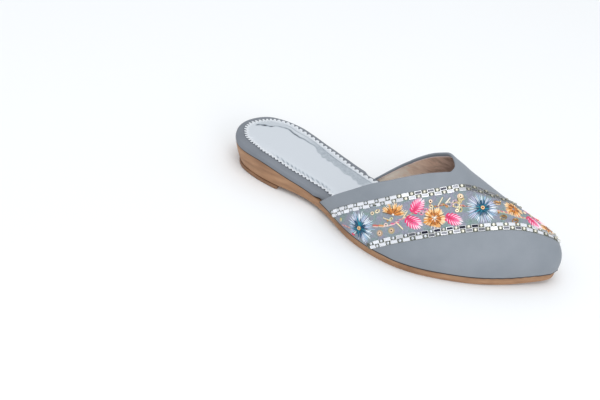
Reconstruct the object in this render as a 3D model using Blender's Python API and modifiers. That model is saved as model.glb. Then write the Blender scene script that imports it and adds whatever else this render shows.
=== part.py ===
"""Embroidered mule, right shoe: a moulded sole with a low heel, a wrapped footbed, a sock lining and a vamp.

The toe points along +Y, the outer (lateral) side of the foot is +X and the floor is z = 0.
Every section comes from the driving sizes below and three short tables, one row for each section of the last.
"""
import math
from collections import namedtuple

import bmesh
import bpy
import numpy

MM = 0.001

# Driving sizes, in millimetres
LENGTH = 250.0
BALL_WIDTH = 88.0
INSTEP_HEIGHT = 53.5
UPPER_WALL = 1.6
GAP = 0.3

# Sole: the low heel draws in towards the floor, and its lower edges are eased
LIFT_THICKNESS = 3.0
LIFT_FRONT = 49.0
LIFT_PROUD = 0.2
HEEL_TAPER = 5.0
HEEL_TAPER_END = 50.0
HEEL_TAPER_CURVE = 1.3
SOLE_EDGE_INSET = 0.7
EASED_EDGE = 1.0
EASED_HEIGHT = 0.6

# Footbed: a soft board wrapped in the upper's material, notched back where the vamp's wall stands beside it
FOOTBED_INSET = 0.1
FOOTBED_HEIGHT = 4.8
FOOTBED_ROUND = 1.6
FOOTBED_SHOULDER = 0.5
FOOTBED_LOWER_ROUND = 0.5
FOOTBED_LOWER_HEIGHT = 0.7
COLLAR_LATERAL = 85.0
COLLAR_MEDIAL = 101.5
NOTCH = 5.0
NOTCH_LEAD = 2.0

# Sock lining
SOCK_BORDER = 5.9
SOCK_THICKNESS = 1.2
SOCK_ROUND = 0.5

# The vamp swells over the featherline before it closes to the crest
BULGE = 2.4
BULGE_HEIGHT = 27.6

# How finely the faceted solids follow the curves, and how far apart the vamp is probed for its normal
SOLE_STATIONS = 44
VAMP_STEPS_ALONG = 30
VAMP_STEPS_AROUND = 40
PROBE_ALONG = 0.05
PROBE_ANGLE = 0.5
SHARP_ANGLE = 35.0

# Plan of the last: place along the length, and the two edges as shares of the ball width
Plan = namedtuple("Plan", "along lateral medial")
PLAN = [
    Plan(0.000, 0.000, 0.000),
    Plan(0.032, 0.228, -0.232),
    Plan(0.100, 0.311, -0.319),
    Plan(0.200, 0.325, -0.330),
    Plan(0.320, 0.352, -0.278),
    Plan(0.440, 0.515, -0.240),
    Plan(0.560, 0.625, -0.323),
    Plan(0.660, 0.621, -0.364),
    Plan(0.760, 0.524, -0.380),
    Plan(0.848, 0.392, -0.340),
    Plan(0.920, 0.232, -0.290),
    Plan(0.968, 0.113, -0.205),
    Plan(1.000, -0.034, -0.034),
]

# Side view of the sole: the featherline, where the upper meets the sole, and the tread, in millimetres
Side = namedtuple("Side", "along feather tread")
SIDE = [
    Side(0.000, 18.1, 3.3),
    Side(0.120, 16.9, 3.3),
    Side(0.240, 11.3, 3.3),
    Side(0.360, 7.6, 2.4),
    Side(0.480, 5.6, 0.0),
    Side(0.600, 5.3, 0.0),
    Side(0.760, 5.6, 0.0),
    Side(0.900, 6.6, 0.7),
    Side(1.000, 9.3, 4.0),
]

# Sections of the vamp: the crest's place across and its height over the featherline, as shares of the ball
# width and of the instep height, and how far the shoulders lean in from a half ellipse
Section = namedtuple("Section", "along crest_x crest_height lean")
SECTIONS = [
    Section(0.336, -0.107, 1.590, 0.110),
    Section(0.460, -0.081, 1.362, 0.145),
    Section(0.560, -0.056, 1.162, 0.155),
    Section(0.640, -0.032, 1.000, 0.145),
    Section(0.720, -0.005, 0.862, 0.106),
    Section(0.800, 0.018, 0.739, 0.055),
    Section(0.860, 0.020, 0.656, 0.030),
    Section(0.920, 0.003, 0.547, 0.025),
    Section(0.964, -0.017, 0.405, 0.040),
    Section(1.000, -0.034, 0.000, 0.060),
]

# Topline: where the vamp's edge lies along the length at each angle round the section, in degrees from the
# outer featherline, over the crest at 90, to the inner one
Edge = namedtuple("Edge", "angle along")
TOPLINE = [
    Edge(0.0, 0.340),
    Edge(16.0, 0.404),
    Edge(32.0, 0.472),
    Edge(47.0, 0.543),
    Edge(62.0, 0.604),
    Edge(73.0, 0.643),
    Edge(79.0, 0.658),
    Edge(85.0, 0.659),
    Edge(97.0, 0.642),
    Edge(110.0, 0.619),
    Edge(123.0, 0.594),
    Edge(137.0, 0.553),
    Edge(151.0, 0.507),
    Edge(166.0, 0.459),
    Edge(180.0, 0.407),
]

Finish = namedtuple("Finish", "color roughness metallic")
SYNTHETIC_LEATHER = Finish((0.34, 0.37, 0.41), 0.62, 0.0)
SOLE_COMPOUND = Finish((0.35, 0.21, 0.13), 0.55, 0.0)
LIFT_COMPOUND = Finish((0.30, 0.17, 0.10), 0.6, 0.0)
SILVER_FOIL = Finish((0.72, 0.75, 0.78), 0.25, 0.9)


def level_curve(places, values):
    """A curve through the rows that never overshoots them, so that equal rows stay level between."""
    steps = [b - a for a, b in zip(places, places[1:])]
    slopes = [(b - a) / step for a, b, step in zip(values, values[1:], steps)]
    tangents = [slopes[0]]
    for before, after, left, right in zip(slopes, slopes[1:], steps, steps[1:]):
        if before * after <= 0:
            tangents.append(0.0)
            continue
        weight_left = 2 * right + left
        weight_right = right + 2 * left
        tangents.append((weight_left + weight_right) / (weight_left / before + weight_right / after))
    tangents.append(slopes[-1])

    def curve(place):
        row = sum(1 for start in places[1:-1] if place >= start)
        step = steps[row]
        t = (place - places[row]) / step
        rise = values[row + 1] - values[row]
        bend_left = step * tangents[row] - rise
        bend_right = rise - step * tangents[row + 1]
        return values[row] + t * rise + t * (1 - t) * ((1 - t) * bend_left + t * bend_right)

    return curve


def flowing_curve(places, values):
    """A curve through the rows whose bend changes gently, as a wooden batten's does."""
    steps = numpy.diff(places)
    slopes = numpy.diff(values) / steps
    system = numpy.eye(len(places))
    bends = numpy.zeros(len(places))
    for row in range(1, len(places) - 1):
        before, after = steps[row - 1], steps[row]
        system[row, row - 1:row + 2] = before, 2 * (before + after), after
        bends[row] = 6 * (slopes[row] - slopes[row - 1])
    bends = numpy.linalg.solve(system, bends)

    def curve(place):
        row = sum(1 for start in places[1:-1] if place >= start)
        step = float(steps[row])
        left = places[row + 1] - place
        right = place - places[row]
        bend_left, bend_right = float(bends[row]), float(bends[row + 1])
        bent = (bend_left * left ** 3 + bend_right * right ** 3) / (6 * step)
        straight_left = (values[row] / step - bend_left * step / 6) * left
        straight_right = (values[row + 1] / step - bend_right * step / 6) * right
        return bent + straight_left + straight_right

    return curve


def places_of(rows):
    return [row.along * LENGTH for row in rows]


def round_ended(rows, sizes):
    """A curve of a size that closes to a round end: its square runs straight into the end."""
    curve = flowing_curve(places_of(rows), [size * size for size in sizes])
    return lambda place: math.sqrt(max(curve(place), 0.0))


middle_at = flowing_curve(places_of(PLAN), [(row.lateral + row.medial) / 2 * BALL_WIDTH for row in PLAN])
half_width_at = round_ended(PLAN, [(row.lateral - row.medial) / 2 * BALL_WIDTH for row in PLAN])
feather_at = level_curve(places_of(SIDE), [row.feather for row in SIDE])
tread_at = level_curve(places_of(SIDE), [row.tread for row in SIDE])
crest_x_at = flowing_curve(places_of(SECTIONS), [row.crest_x * BALL_WIDTH for row in SECTIONS])
crest_height_at = round_ended(SECTIONS, [row.crest_height * INSTEP_HEIGHT for row in SECTIONS])
lean_at = flowing_curve(places_of(SECTIONS), [row.lean for row in SECTIONS])
topline_at = level_curve([edge.angle for edge in TOPLINE], [edge.along * LENGTH for edge in TOPLINE])


def outline(inset_at):
    """The plan as a closed ring of (x, y): out along the lateral side, back along the medial side.

    The stations lie closer together at both ends, where the outline turns.
    """
    turns = [math.pi * step / SOLE_STATIONS for step in range(SOLE_STATIONS + 1)]
    places = [LENGTH / 2 * (1 - math.cos(turn)) for turn in turns]
    lateral = [(middle_at(y) + half_width_at(y), y) for y in places]
    medial = [(middle_at(y) - half_width_at(y), y) for y in places[-2:0:-1]]
    ring = lateral + medial
    inset_ring = []
    for index, (x, y) in enumerate(ring):
        before = ring[index - 1]
        after = ring[(index + 1) % len(ring)]
        along_x = after[0] - before[0]
        along_y = after[1] - before[1]
        size = math.hypot(along_x, along_y)
        inset = inset_at(x, y)
        inset_ring.append((x - along_y / size * inset, y + along_x / size * inset))
    return inset_ring


def blend(place, start, end):
    """A soft step from 0 at start to 1 at end."""
    t = min(max((place - start) / (end - start), 0.0), 1.0)
    return t * t * (3 - 2 * t)


def stack(name, rings, finish):
    """Skin a pile of rings, lowest first, and close it top and bottom with rungs from side to side."""
    mesh = bmesh.new()
    loops = [[mesh.verts.new((x * MM, y * MM, z * MM)) for x, y, z in ring] for ring in rings]
    count = len(loops[0])
    for lower, upper in zip(loops, loops[1:]):
        for index in range(count):
            following = (index + 1) % count
            mesh.faces.new((lower[index], lower[following], upper[following], upper[index]))
    for loop in (loops[0], loops[-1]):
        for index in range(count // 2):
            corners = [loop[index], loop[index + 1], loop[-index - 1], loop[-index]]
            kept = [vert for place, vert in enumerate(corners) if vert not in corners[:place]]
            mesh.faces.new(kept)
    bmesh.ops.recalc_face_normals(mesh, faces=mesh.faces)
    return add_part(name, mesh, finish)


def add_part(name, mesh, finish):
    """Make one named object of a finished mesh, with its own material, standing on the mule's empty."""
    data = bpy.data.meshes.new(name)
    mesh.to_mesh(data)
    mesh.free()
    data.shade_smooth()
    data.set_sharp_from_angle(angle=math.radians(SHARP_ANGLE))
    material = bpy.data.materials.new(name + "_finish")
    material.use_nodes = True
    shader = material.node_tree.nodes["Principled BSDF"]
    shader.inputs["Base Color"].default_value = (*finish.color, 1.0)
    shader.inputs["Roughness"].default_value = finish.roughness
    shader.inputs["Metallic"].default_value = finish.metallic
    data.materials.append(material)
    part = bpy.data.objects.new(name, data)
    parts.objects.link(part)
    part.parent = mule
    return part


def ring_at(inset_at, height_at):
    return [(x, y, height_at(y)) for x, y in outline(inset_at)]


def sole_inset(share):
    """The sole's wall at a share of its height: the low heel draws in towards the floor, most at its back."""

    def inset(x, y):
        taper = HEEL_TAPER * (1 - blend(y, 0.0, HEEL_TAPER_END)) * (1 - share) ** HEEL_TAPER_CURVE
        return SOLE_EDGE_INSET + taper

    return inset


def make_outsole():
    """The moulded sole: tread, eased lower edge, and a wall that rises to the featherline."""
    rings = [
        ring_at(lambda x, y: sole_inset(0.0)(x, y) + EASED_EDGE, tread_at),
        ring_at(sole_inset(0.0), lambda y: tread_at(y) + EASED_HEIGHT),
        ring_at(sole_inset(0.5), lambda y: (tread_at(y) + feather_at(y)) / 2),
        ring_at(sole_inset(1.0), feather_at),
    ]
    return stack("outsole", rings, SOLE_COMPOUND)


def make_heel_top_piece():
    """The thin lift that the heel stands on, cut straight across at the breast."""

    def wall(x, y):
        return sole_inset(0.0)(x, y) - LIFT_PROUD

    def eased(x, y):
        return wall(x, y) + EASED_HEIGHT

    rings = []
    for inset_at, height in ((eased, 0.0), (wall, EASED_HEIGHT), (wall, LIFT_THICKNESS)):
        behind = [point for point in outline(inset_at) if point[1] < LIFT_FRONT - EASED_EDGE]
        half = len(behind) // 2 + 1
        lateral, medial = behind[:half], behind[half:]
        breast = [(lateral[-1][0], LIFT_FRONT), (medial[0][0], LIFT_FRONT)]
        rings.append([(x, y, height) for x, y in lateral + breast + medial])
    return stack("heel_top_piece", rings, LIFT_COMPOUND)


def inside_vamp(x, y):
    """0 where the footbed lies open, 1 where the vamp's wall stands beside it."""
    corner = COLLAR_LATERAL if x > middle_at(min(max(y, 0.0), LENGTH)) else COLLAR_MEDIAL
    return blend(y, corner - NOTCH - NOTCH_LEAD, corner - NOTCH_LEAD)


def make_footbed():
    """The wrapped board: its upper edge is rounded over, its lower one a little."""
    wall_inset = UPPER_WALL + 3 * GAP

    def inset_by(extra):
        def inset(x, y):
            return FOOTBED_INSET + inside_vamp(x, y) * (wall_inset - FOOTBED_INSET) + extra

        return inset

    def level(height):
        return lambda y: feather_at(y) + height

    rings = [
        ring_at(inset_by(FOOTBED_LOWER_ROUND), level(GAP)),
        ring_at(inset_by(0.0), level(GAP + FOOTBED_LOWER_HEIGHT)),
        ring_at(inset_by(0.0), level(FOOTBED_HEIGHT - FOOTBED_ROUND)),
        ring_at(inset_by(FOOTBED_SHOULDER), level(FOOTBED_HEIGHT - FOOTBED_SHOULDER)),
        ring_at(inset_by(FOOTBED_ROUND), level(FOOTBED_HEIGHT)),
    ]
    return stack("footbed", rings, SYNTHETIC_LEATHER)


def make_sock_lining():
    """The thin pad that the foot lies on, inside the footbed's border."""

    def level(height):
        return lambda y: feather_at(y) + FOOTBED_HEIGHT + GAP + height

    rings = [
        ring_at(lambda x, y: SOCK_BORDER, level(0.0)),
        ring_at(lambda x, y: SOCK_BORDER, level(SOCK_THICKNESS - SOCK_ROUND)),
        ring_at(lambda x, y: SOCK_BORDER + SOCK_ROUND, level(SOCK_THICKNESS)),
    ]
    return stack("sock_lining", rings, SILVER_FOIL)


def vamp_section(y, angle):
    """A point of the last's skin: at a place along the length and an angle round the section."""
    turn = math.radians(angle)
    cosine, sine = math.cos(turn), math.sin(turn)
    lean = lean_at(y)
    crest_x = crest_x_at(y)
    skew = middle_at(y) - crest_x
    across = half_width_at(y) * cosine * (1 - lean * sine ** 2) + skew * cosine ** 2
    up = sine * (1 - lean * cosine ** 2)
    return crest_x + across, y, feather_at(y) + crest_height_at(y) * up


def vamp_point(y, angle):
    """The same point, swollen outwards over the featherline, by most at half the bulge's height."""
    place = min(y, LENGTH - 2 * PROBE_ALONG)
    x, _, z = vamp_section(place, angle)
    swell = BULGE * math.sin(math.pi * min((z - feather_at(place)) / BULGE_HEIGHT, 1.0))
    before = vamp_section(place - PROBE_ALONG, angle)
    after = vamp_section(place + PROBE_ALONG, angle)
    lower = vamp_section(place, max(angle - PROBE_ANGLE, 0.0))
    upper = vamp_section(place, min(angle + PROBE_ANGLE, 180.0))
    along = [b - a for a, b in zip(before, after)]
    around = [b - a for a, b in zip(lower, upper)]
    normal_x = along[1] * around[2] - along[2] * around[1]
    normal_y = along[2] * around[0] - along[0] * around[2]
    normal_z = along[0] * around[1] - along[1] * around[0]
    size = math.sqrt(normal_x ** 2 + normal_y ** 2 + normal_z ** 2)
    return x + swell * normal_x / size, y + swell * normal_y / size, z + GAP


def make_upper():
    """One hollow wall from the topline to the toe: an open skin over the last, thickened inwards."""
    mesh = bmesh.new()
    rows = []
    for around in range(VAMP_STEPS_AROUND + 1):
        angle = 180.0 * around / VAMP_STEPS_AROUND
        start = topline_at(angle)
        row = []
        for along in range(VAMP_STEPS_ALONG):
            share = math.sin(math.pi / 2 * along / VAMP_STEPS_ALONG)
            row.append(vamp_point(start + (LENGTH - start) * share, angle))
        rows.append([mesh.verts.new([value * MM for value in point]) for point in row])
    tip = mesh.verts.new((middle_at(LENGTH) * MM, LENGTH * MM, (feather_at(LENGTH) + GAP) * MM))
    for lower, upper in zip(rows, rows[1:]):
        for index in range(VAMP_STEPS_ALONG - 1):
            mesh.faces.new((lower[index], lower[index + 1], upper[index + 1], upper[index]))
        mesh.faces.new((lower[-1], tip, upper[-1]))
    upper = add_part("upper", mesh, SYNTHETIC_LEATHER)
    wall = upper.modifiers.new("wall", "SOLIDIFY")
    wall.thickness = UPPER_WALL * MM
    wall.offset = -1.0
    wall.use_even_offset = True
    wall.use_rim = True
    return upper


def clear_scene():
    for existing in list(bpy.data.objects):
        bpy.data.objects.remove(existing, do_unlink=True)


def stand_on_origin():
    """Move the mule so that the origin is the middle of the bottom of its box."""
    bpy.context.view_layer.update()
    graph = bpy.context.evaluated_depsgraph_get()
    corners = []
    for part in parts.objects:
        evaluated = part.evaluated_get(graph)
        corners.extend(vertex.co.copy() for vertex in evaluated.data.vertices)
    lowest = [min(corner[axis] for corner in corners) for axis in range(3)]
    highest = [max(corner[axis] for corner in corners) for axis in range(3)]
    mule.location = (-(lowest[0] + highest[0]) / 2, -(lowest[1] + highest[1]) / 2, -lowest[2])


clear_scene()
parts = bpy.data.collections.new("embroidered_mule")
bpy.context.scene.collection.children.link(parts)
mule = bpy.data.objects.new("mule", None)
bpy.context.scene.collection.objects.link(mule)
make_outsole()
make_heel_top_piece()
make_footbed()
make_sock_lining()
make_upper()
stand_on_origin()
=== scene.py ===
# %% [markdown]
# # An embroidered mule, dressed round its solid parts
# The solid parts of the shoe are loaded first and never move. Everything below is the shoe's surface:
# leather, lining, foil, sole, and the embroidered band with its mirror strips. All of it follows one last,
# so the last's own sizes are written down once, as a maker would, and every piece asks the last where it
# lies.

# %% Tools and the fixed frame
import math
from collections import namedtuple

import bpy
import numpy
from mathutils import Euler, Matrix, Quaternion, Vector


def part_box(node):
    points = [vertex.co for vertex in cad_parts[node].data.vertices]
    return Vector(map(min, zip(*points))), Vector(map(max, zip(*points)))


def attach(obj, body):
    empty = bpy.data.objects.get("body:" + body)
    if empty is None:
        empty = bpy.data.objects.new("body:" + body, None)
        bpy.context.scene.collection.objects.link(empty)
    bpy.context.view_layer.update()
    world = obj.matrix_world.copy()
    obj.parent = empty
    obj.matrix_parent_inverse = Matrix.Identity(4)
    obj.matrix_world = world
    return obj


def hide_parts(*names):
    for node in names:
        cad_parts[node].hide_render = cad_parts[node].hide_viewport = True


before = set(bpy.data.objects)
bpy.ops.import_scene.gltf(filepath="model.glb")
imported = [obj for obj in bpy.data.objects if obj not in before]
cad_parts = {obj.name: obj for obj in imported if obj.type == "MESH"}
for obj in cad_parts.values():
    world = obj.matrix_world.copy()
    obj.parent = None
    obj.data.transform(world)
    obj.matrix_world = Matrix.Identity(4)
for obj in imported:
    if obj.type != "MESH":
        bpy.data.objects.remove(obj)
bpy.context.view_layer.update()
MM = 0.001
dice = numpy.random.default_rng(11)
print("the shoe's nodes:", ", ".join(sorted(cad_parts)))


# %% [markdown]
# ## The last
# A last is the foot-shaped block that a shoe is built on. It is described by its plan, the side view of the
# sole, and a few cross sections. Curves run through those rows: a level one that never overshoots, for
# heights that stay flat between equal rows, and a flowing one, like a bent batten, for everything that has
# to look fair.

# %% Sizes of the last, in millimetres
LENGTH, BALL_WIDTH, INSTEP_HEIGHT = 250.0, 88.0, 53.5
GAP = 0.3
BULGE, BULGE_HEIGHT = 2.4, 27.6


def table(columns, *rows):
    """Rows of numbers, kept as named columns."""
    return namedtuple("Table", columns)(*numpy.array(rows, float).T)


PLAN = table(
    "along lateral medial",
    (0, 0, 0), (0.032, 0.228, -0.232), (0.1, 0.311, -0.319), (0.2, 0.325, -0.33), (0.32, 0.352, -0.278),
    (0.44, 0.515, -0.24), (0.56, 0.625, -0.323), (0.66, 0.621, -0.364), (0.76, 0.524, -0.38),
    (0.848, 0.392, -0.34), (0.92, 0.232, -0.29), (0.968, 0.113, -0.205), (1, -0.034, -0.034),
)
SIDE = table(
    "along feather tread",
    (0, 18.1, 3.3), (0.12, 16.9, 3.3), (0.24, 11.3, 3.3), (0.36, 7.6, 2.4), (0.48, 5.6, 0), (0.6, 5.3, 0),
    (0.76, 5.6, 0), (0.9, 6.6, 0.7), (1, 9.3, 4),
)
SECTIONS = table(
    "along crest_x crest_height lean",
    (0.336, -0.107, 1.59, 0.11), (0.46, -0.081, 1.362, 0.145), (0.56, -0.056, 1.162, 0.155),
    (0.64, -0.032, 1, 0.145), (0.72, -0.005, 0.862, 0.106), (0.8, 0.018, 0.739, 0.055),
    (0.86, 0.02, 0.656, 0.03), (0.92, 0.003, 0.547, 0.025), (0.964, -0.017, 0.405, 0.04),
    (1, -0.034, 0, 0.06),
)
TOPLINE = table(
    "angle along",
    (0, 0.34), (16, 0.404), (32, 0.47), (47, 0.5405), (62, 0.6015), (73, 0.6405), (79, 0.6555), (85, 0.657),
    (97, 0.642), (110, 0.619), (123, 0.594), (137, 0.553), (151, 0.507), (166, 0.459), (180, 0.407),
)


# %% Curves through the rows
def curve_through(places, values, tangents):
    """The smooth curve that passes each row at its tangent."""
    places, values = numpy.array(places, float), numpy.array(values, float)
    steps = numpy.diff(places)

    def curve(place):
        row = numpy.clip(numpy.searchsorted(places, place, side="right") - 1, 0, len(steps) - 1)
        t = (place - places[row]) / steps[row]
        rise = values[row + 1] - values[row]
        bend_left = steps[row] * tangents[row] - rise
        bend_right = rise - steps[row] * tangents[row + 1]
        return values[row] + t * rise + t * (1 - t) * ((1 - t) * bend_left + t * bend_right)

    return curve


def level_curve(places, values):
    """A curve that never overshoots its rows, so that equal rows stay level between."""
    steps = numpy.diff(places)
    slopes = numpy.diff(values) / steps
    before, after, left, right = slopes[:-1], slopes[1:], steps[:-1], steps[1:]
    rising = before * after > 0
    left_share = (2 * right + left) / numpy.where(rising, before, 1)
    right_share = (right + 2 * left) / numpy.where(rising, after, 1)
    middle = numpy.where(rising, 3 * (left + right) / (left_share + right_share), 0)
    return curve_through(places, values, numpy.concatenate([slopes[:1], middle, slopes[-1:]]))


def flowing_curve(places, values):
    """A curve whose bend changes gently from row to row, as a wooden batten's does."""
    pull = 1 / numpy.diff(places)
    bent = 3 * numpy.diff(values) * pull ** 2
    system = numpy.diag(pull, 1) + numpy.diag(pull, -1)
    system += 2 * numpy.diag(numpy.append(pull, 0) + numpy.append(0, pull))
    pulled = numpy.append(bent, 0) + numpy.append(0, bent)
    return curve_through(places, values, numpy.linalg.solve(system, pulled))


def round_ended(places, sizes):
    """A curve of a size that closes to a round end: its square runs straight into the end."""
    curve = flowing_curve(places, sizes * sizes)
    return lambda place: numpy.sqrt(numpy.maximum(curve(place), 0.0))


middle_at = flowing_curve(PLAN.along * LENGTH, (PLAN.lateral + PLAN.medial) / 2 * BALL_WIDTH)
half_width_at = round_ended(PLAN.along * LENGTH, (PLAN.lateral - PLAN.medial) / 2 * BALL_WIDTH)
feather_at = level_curve(SIDE.along * LENGTH, SIDE.feather)
tread_at = level_curve(SIDE.along * LENGTH, SIDE.tread)
crest_x_at = flowing_curve(SECTIONS.along * LENGTH, SECTIONS.crest_x * BALL_WIDTH)
crest_height_at = round_ended(SECTIONS.along * LENGTH, SECTIONS.crest_height * INSTEP_HEIGHT)
lean_at = flowing_curve(SECTIONS.along * LENGTH, SECTIONS.lean)
topline_at = level_curve(TOPLINE.angle, TOPLINE.along * LENGTH)
print(f"the last is {LENGTH} mm long and {2 * half_width_at(150.0):.1f} mm wide at the ball")


# %% [markdown]
# ## The skin of the vamp
# Every point of the vamp has an address: how far it lies along the shoe, and its angle round the section,
# from 0 at the outer featherline, over the crest at 90, to 180 at the inner one. `skin` turns addresses
# into points and `skin_frame` adds the outward normal, which is what is needed to stand a bead or lay a
# stitch on the surface.

# %% Points and normals of the vamp
PROBE_ALONG, PROBE_ANGLE = 0.05, 0.5
REACH = 0.4


def last_section(y, angle):
    turn = numpy.radians(angle)
    cosine, sine = numpy.cos(turn), numpy.sin(turn)
    lean, crest_x = lean_at(y), crest_x_at(y)
    skew = middle_at(y) - crest_x
    across = half_width_at(y) * cosine * (1 - lean * sine ** 2) + skew * cosine ** 2
    up = sine * (1 - lean * cosine ** 2)
    return numpy.stack([crest_x + across, y, feather_at(y) + crest_height_at(y) * up], -1)


def unit(vectors):
    return vectors / numpy.maximum(numpy.linalg.norm(vectors, axis=-1, keepdims=True), 1e-9)


def skin(y, angle):
    """The vamp's outer face: the last's section, swollen outwards over the featherline."""
    y, angle = numpy.broadcast_arrays(numpy.asarray(y, float), numpy.asarray(angle, float))
    place = numpy.minimum(y, LENGTH - 2 * PROBE_ALONG)
    point = last_section(place, angle)
    along = last_section(place + PROBE_ALONG, angle) - last_section(place - PROBE_ALONG, angle)
    around = last_section(place, angle + PROBE_ANGLE) - last_section(place, angle - PROBE_ANGLE)
    height = (point[..., 2] - feather_at(place)) / BULGE_HEIGHT
    swell = BULGE * numpy.sin(math.pi * numpy.clip(height, -0.2, 1.0))
    point = point + swell[..., None] * unit(numpy.cross(along, around))
    point[..., 1] += y - place
    point[..., 2] += GAP
    return point


def skin_frame(y, angle):
    """The point, the outward normal, and how far 1 mm along and 1 degree round carry it."""
    y, angle = numpy.broadcast_arrays(numpy.asarray(y, float), numpy.asarray(angle, float))
    front = numpy.minimum(y + REACH, LENGTH - 2 * PROBE_ALONG)
    along = (skin(front, angle) - skin(front - 2 * REACH, angle)) / (2 * REACH)
    around = (skin(y, angle + REACH) - skin(y, angle - REACH)) / (2 * REACH)
    return skin(y, angle), unit(numpy.cross(along, around)), along, around


print("the crest over the ball is at", skin(150.0, 90.0).round(1), "mm on the last")


# %% Where the last stands in the frame
OUTLINE_POINTS, EDGE_POINTS = 4000, 2000
SOLE_EDGE_INSET = 0.7


def clamped(y):
    return numpy.clip(y, 0.0, LENGTH)


def length_along(points, slack=1.0):
    """How far along a line each of its points lies."""
    return numpy.append(0.0, numpy.cumsum(numpy.linalg.norm(numpy.diff(points, axis=0), axis=1) * slack))


outline_turn = numpy.linspace(0, 2 * math.pi, OUTLINE_POINTS)
outline_y = LENGTH / 2 * (1 - numpy.cos(outline_turn))
outline_side = numpy.where(outline_turn <= math.pi, 1.0, -1.0) * half_width_at(outline_y)
outline_points = numpy.stack([middle_at(outline_y) + outline_side, outline_y], -1)
outline_ahead = numpy.roll(outline_points[:-1], -2, axis=0) - numpy.roll(outline_points[:-1], 2, axis=0)
outline_inward = unit(numpy.stack([-outline_ahead[:, 1], outline_ahead[:, 0]], -1))
outline_inward = numpy.concatenate([outline_inward, outline_inward[:1]])
outline_length = length_along(outline_points)
PERIMETER = float(outline_length[-1])


def outline(share, inset=0.0):
    """Points of the outline at shares of its whole length, moved inwards by the inset."""
    along = (share % 1.0) * PERIMETER
    x, y = (numpy.interp(along, outline_length, column) for column in outline_points.T)
    inward_x, inward_y = (numpy.interp(along, outline_length, column) for column in outline_inward.T)
    return x + inward_x * inset, y + inward_y * inset


sole_x, sole_y = outline(numpy.linspace(0, 1, EDGE_POINTS), SOLE_EDGE_INSET)
sole_low, sole_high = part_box("outsole")
ORIGIN = numpy.array([sole_high.x / MM - sole_x.max(), sole_low.y / MM - sole_y.min(), 0.0])


def to_world(points):
    """From the last's millimetres to the frame's metres."""
    return (points + ORIGIN) * MM


print(f"perimeter {PERIMETER:.1f} mm, the last stands at {ORIGIN.round(3)} mm")


# %% [markdown]
# ## The studio
# A pale floor, a pale sky and two large soft lights give the even light that a small shoe is usually shown
# in. The lens is a short telephoto. The camera looks down on the outer side of the shoe and leans a little,
# so that the heel seems to be lifted.

# %% Helpers for nodes and pieces
PER_MM = 1000.0
MIXED_COLOUR = 2


def linear(hex_colour):
    """An sRGB hex colour as the linear numbers that shaders take."""
    channels = [int(hex_colour[place:place + 2], 16) / 255 for place in (0, 2, 4)]
    return [c / 12.92 if c <= 0.04045 else ((c + 0.055) / 1.055) ** 2.4 for c in channels]


def set_up(node, **values):
    """Set a node's settings, and its sockets: to a number, a hex colour or another node's output."""
    sockets = {socket.identifier.replace(" ", "_"): socket for socket in node.inputs}
    for name, value in values.items():
        if name == "stops":
            elements = node.color_ramp.elements
            while len(elements) < len(value):
                elements.new(0.5)
            for element, (position, colour) in zip(elements, value):
                element.position = position
                element.color = (*linear(colour), 1)
        elif name not in sockets:
            setattr(node, name, value)
        elif isinstance(value, (bpy.types.Node, bpy.types.NodeSocket)):
            node.id_data.links.new(getattr(value, "outputs", [value])[0], sockets[name])
        else:
            sockets[name].default_value = (*linear(value), 1) if isinstance(value, str) else value
    return node


def add_node(shader, kind, **values):
    """Add a node beside a material's shader, with its settings and links."""
    return set_up(shader.id_data.nodes.new("ShaderNode" + kind), **values)


def new_material(name, colour, roughness, **sockets):
    """A material with one Principled shader, and the coordinates of the piece that wears it."""
    material = bpy.data.materials.new(name)
    material.use_nodes = True
    shader = material.node_tree.nodes["Principled BSDF"]
    set_up(shader, Base_Color=colour, Roughness=roughness, **sockets)
    return material, shader, add_node(shader, "TexCoord").outputs["Object"]


def only(piece):
    """Select one piece and nothing else, and make it the one that operators act on."""
    bpy.ops.object.select_all(action="DESELECT")
    piece.select_set(True)
    bpy.context.view_layer.objects.active = piece


def added(operator, **settings):
    """Add one primitive with nothing else selected."""
    bpy.ops.object.select_all(action="DESELECT")
    operator(**settings)
    return bpy.context.object


# %% Floor, light and camera
bpy.context.scene.view_settings.view_transform = "Standard"
studio_world = bpy.data.worlds.new("pale_studio")
studio_world.use_nodes = True
set_up(studio_world.node_tree.nodes["Background"], Color=(0.95, 0.975, 1.0, 1), Strength=0.86)
bpy.context.scene.world = studio_world

floor = added(bpy.ops.mesh.primitive_plane_add, size=14)
floor.name = "studio_floor"
floor_paint = bpy.data.materials.new("matte_floor_paint")
floor_paint.use_nodes = True
set_up(floor_paint.node_tree.nodes["Principled BSDF"], Base_Color="F4F5F6", Roughness=0.85)
floor.data.materials.append(floor_paint)

for name, location, target, size, power in (
    ("overhead_softbox", (0.25, 0.1, 1.5), (0, 0, 0), 1.1, 5.5),
    ("side_softbox", (0.9, 0.95, 0.7), (0, 0.05, 0.03), 0.8, 4.5),
):
    lamp = added(bpy.ops.object.light_add, type="AREA", location=location)
    lamp.name = name
    lamp.data.shape = "DISK"
    lamp.data.size = size
    lamp.data.energy = power
    aim = [goal - start for goal, start in zip(target, location)]
    flat = math.hypot(aim[0], aim[1])
    lamp.rotation_euler = (math.atan2(flat, -aim[2]), 0, math.atan2(aim[1], aim[0]) - math.pi / 2)

CAMERA_AZIMUTH, CAMERA_ELEVATION, CAMERA_LEAN = (math.radians(angle) for angle in (21.93, 34.11, 10.91))
camera = added(bpy.ops.object.camera_add, location=(0.6991, 0.2175, 0.498))
camera.data.sensor_width = 36
camera.data.lens = 75
camera.data.clip_end = 50
level = Euler((math.pi / 2 - CAMERA_ELEVATION, 0, math.pi / 2 + CAMERA_AZIMUTH)).to_quaternion()
camera.rotation_mode = "QUATERNION"
camera.rotation_quaternion = level @ Quaternion((0, 0, 1), CAMERA_LEAN)
bpy.context.scene.camera = camera
print("studio and camera are set")


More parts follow.
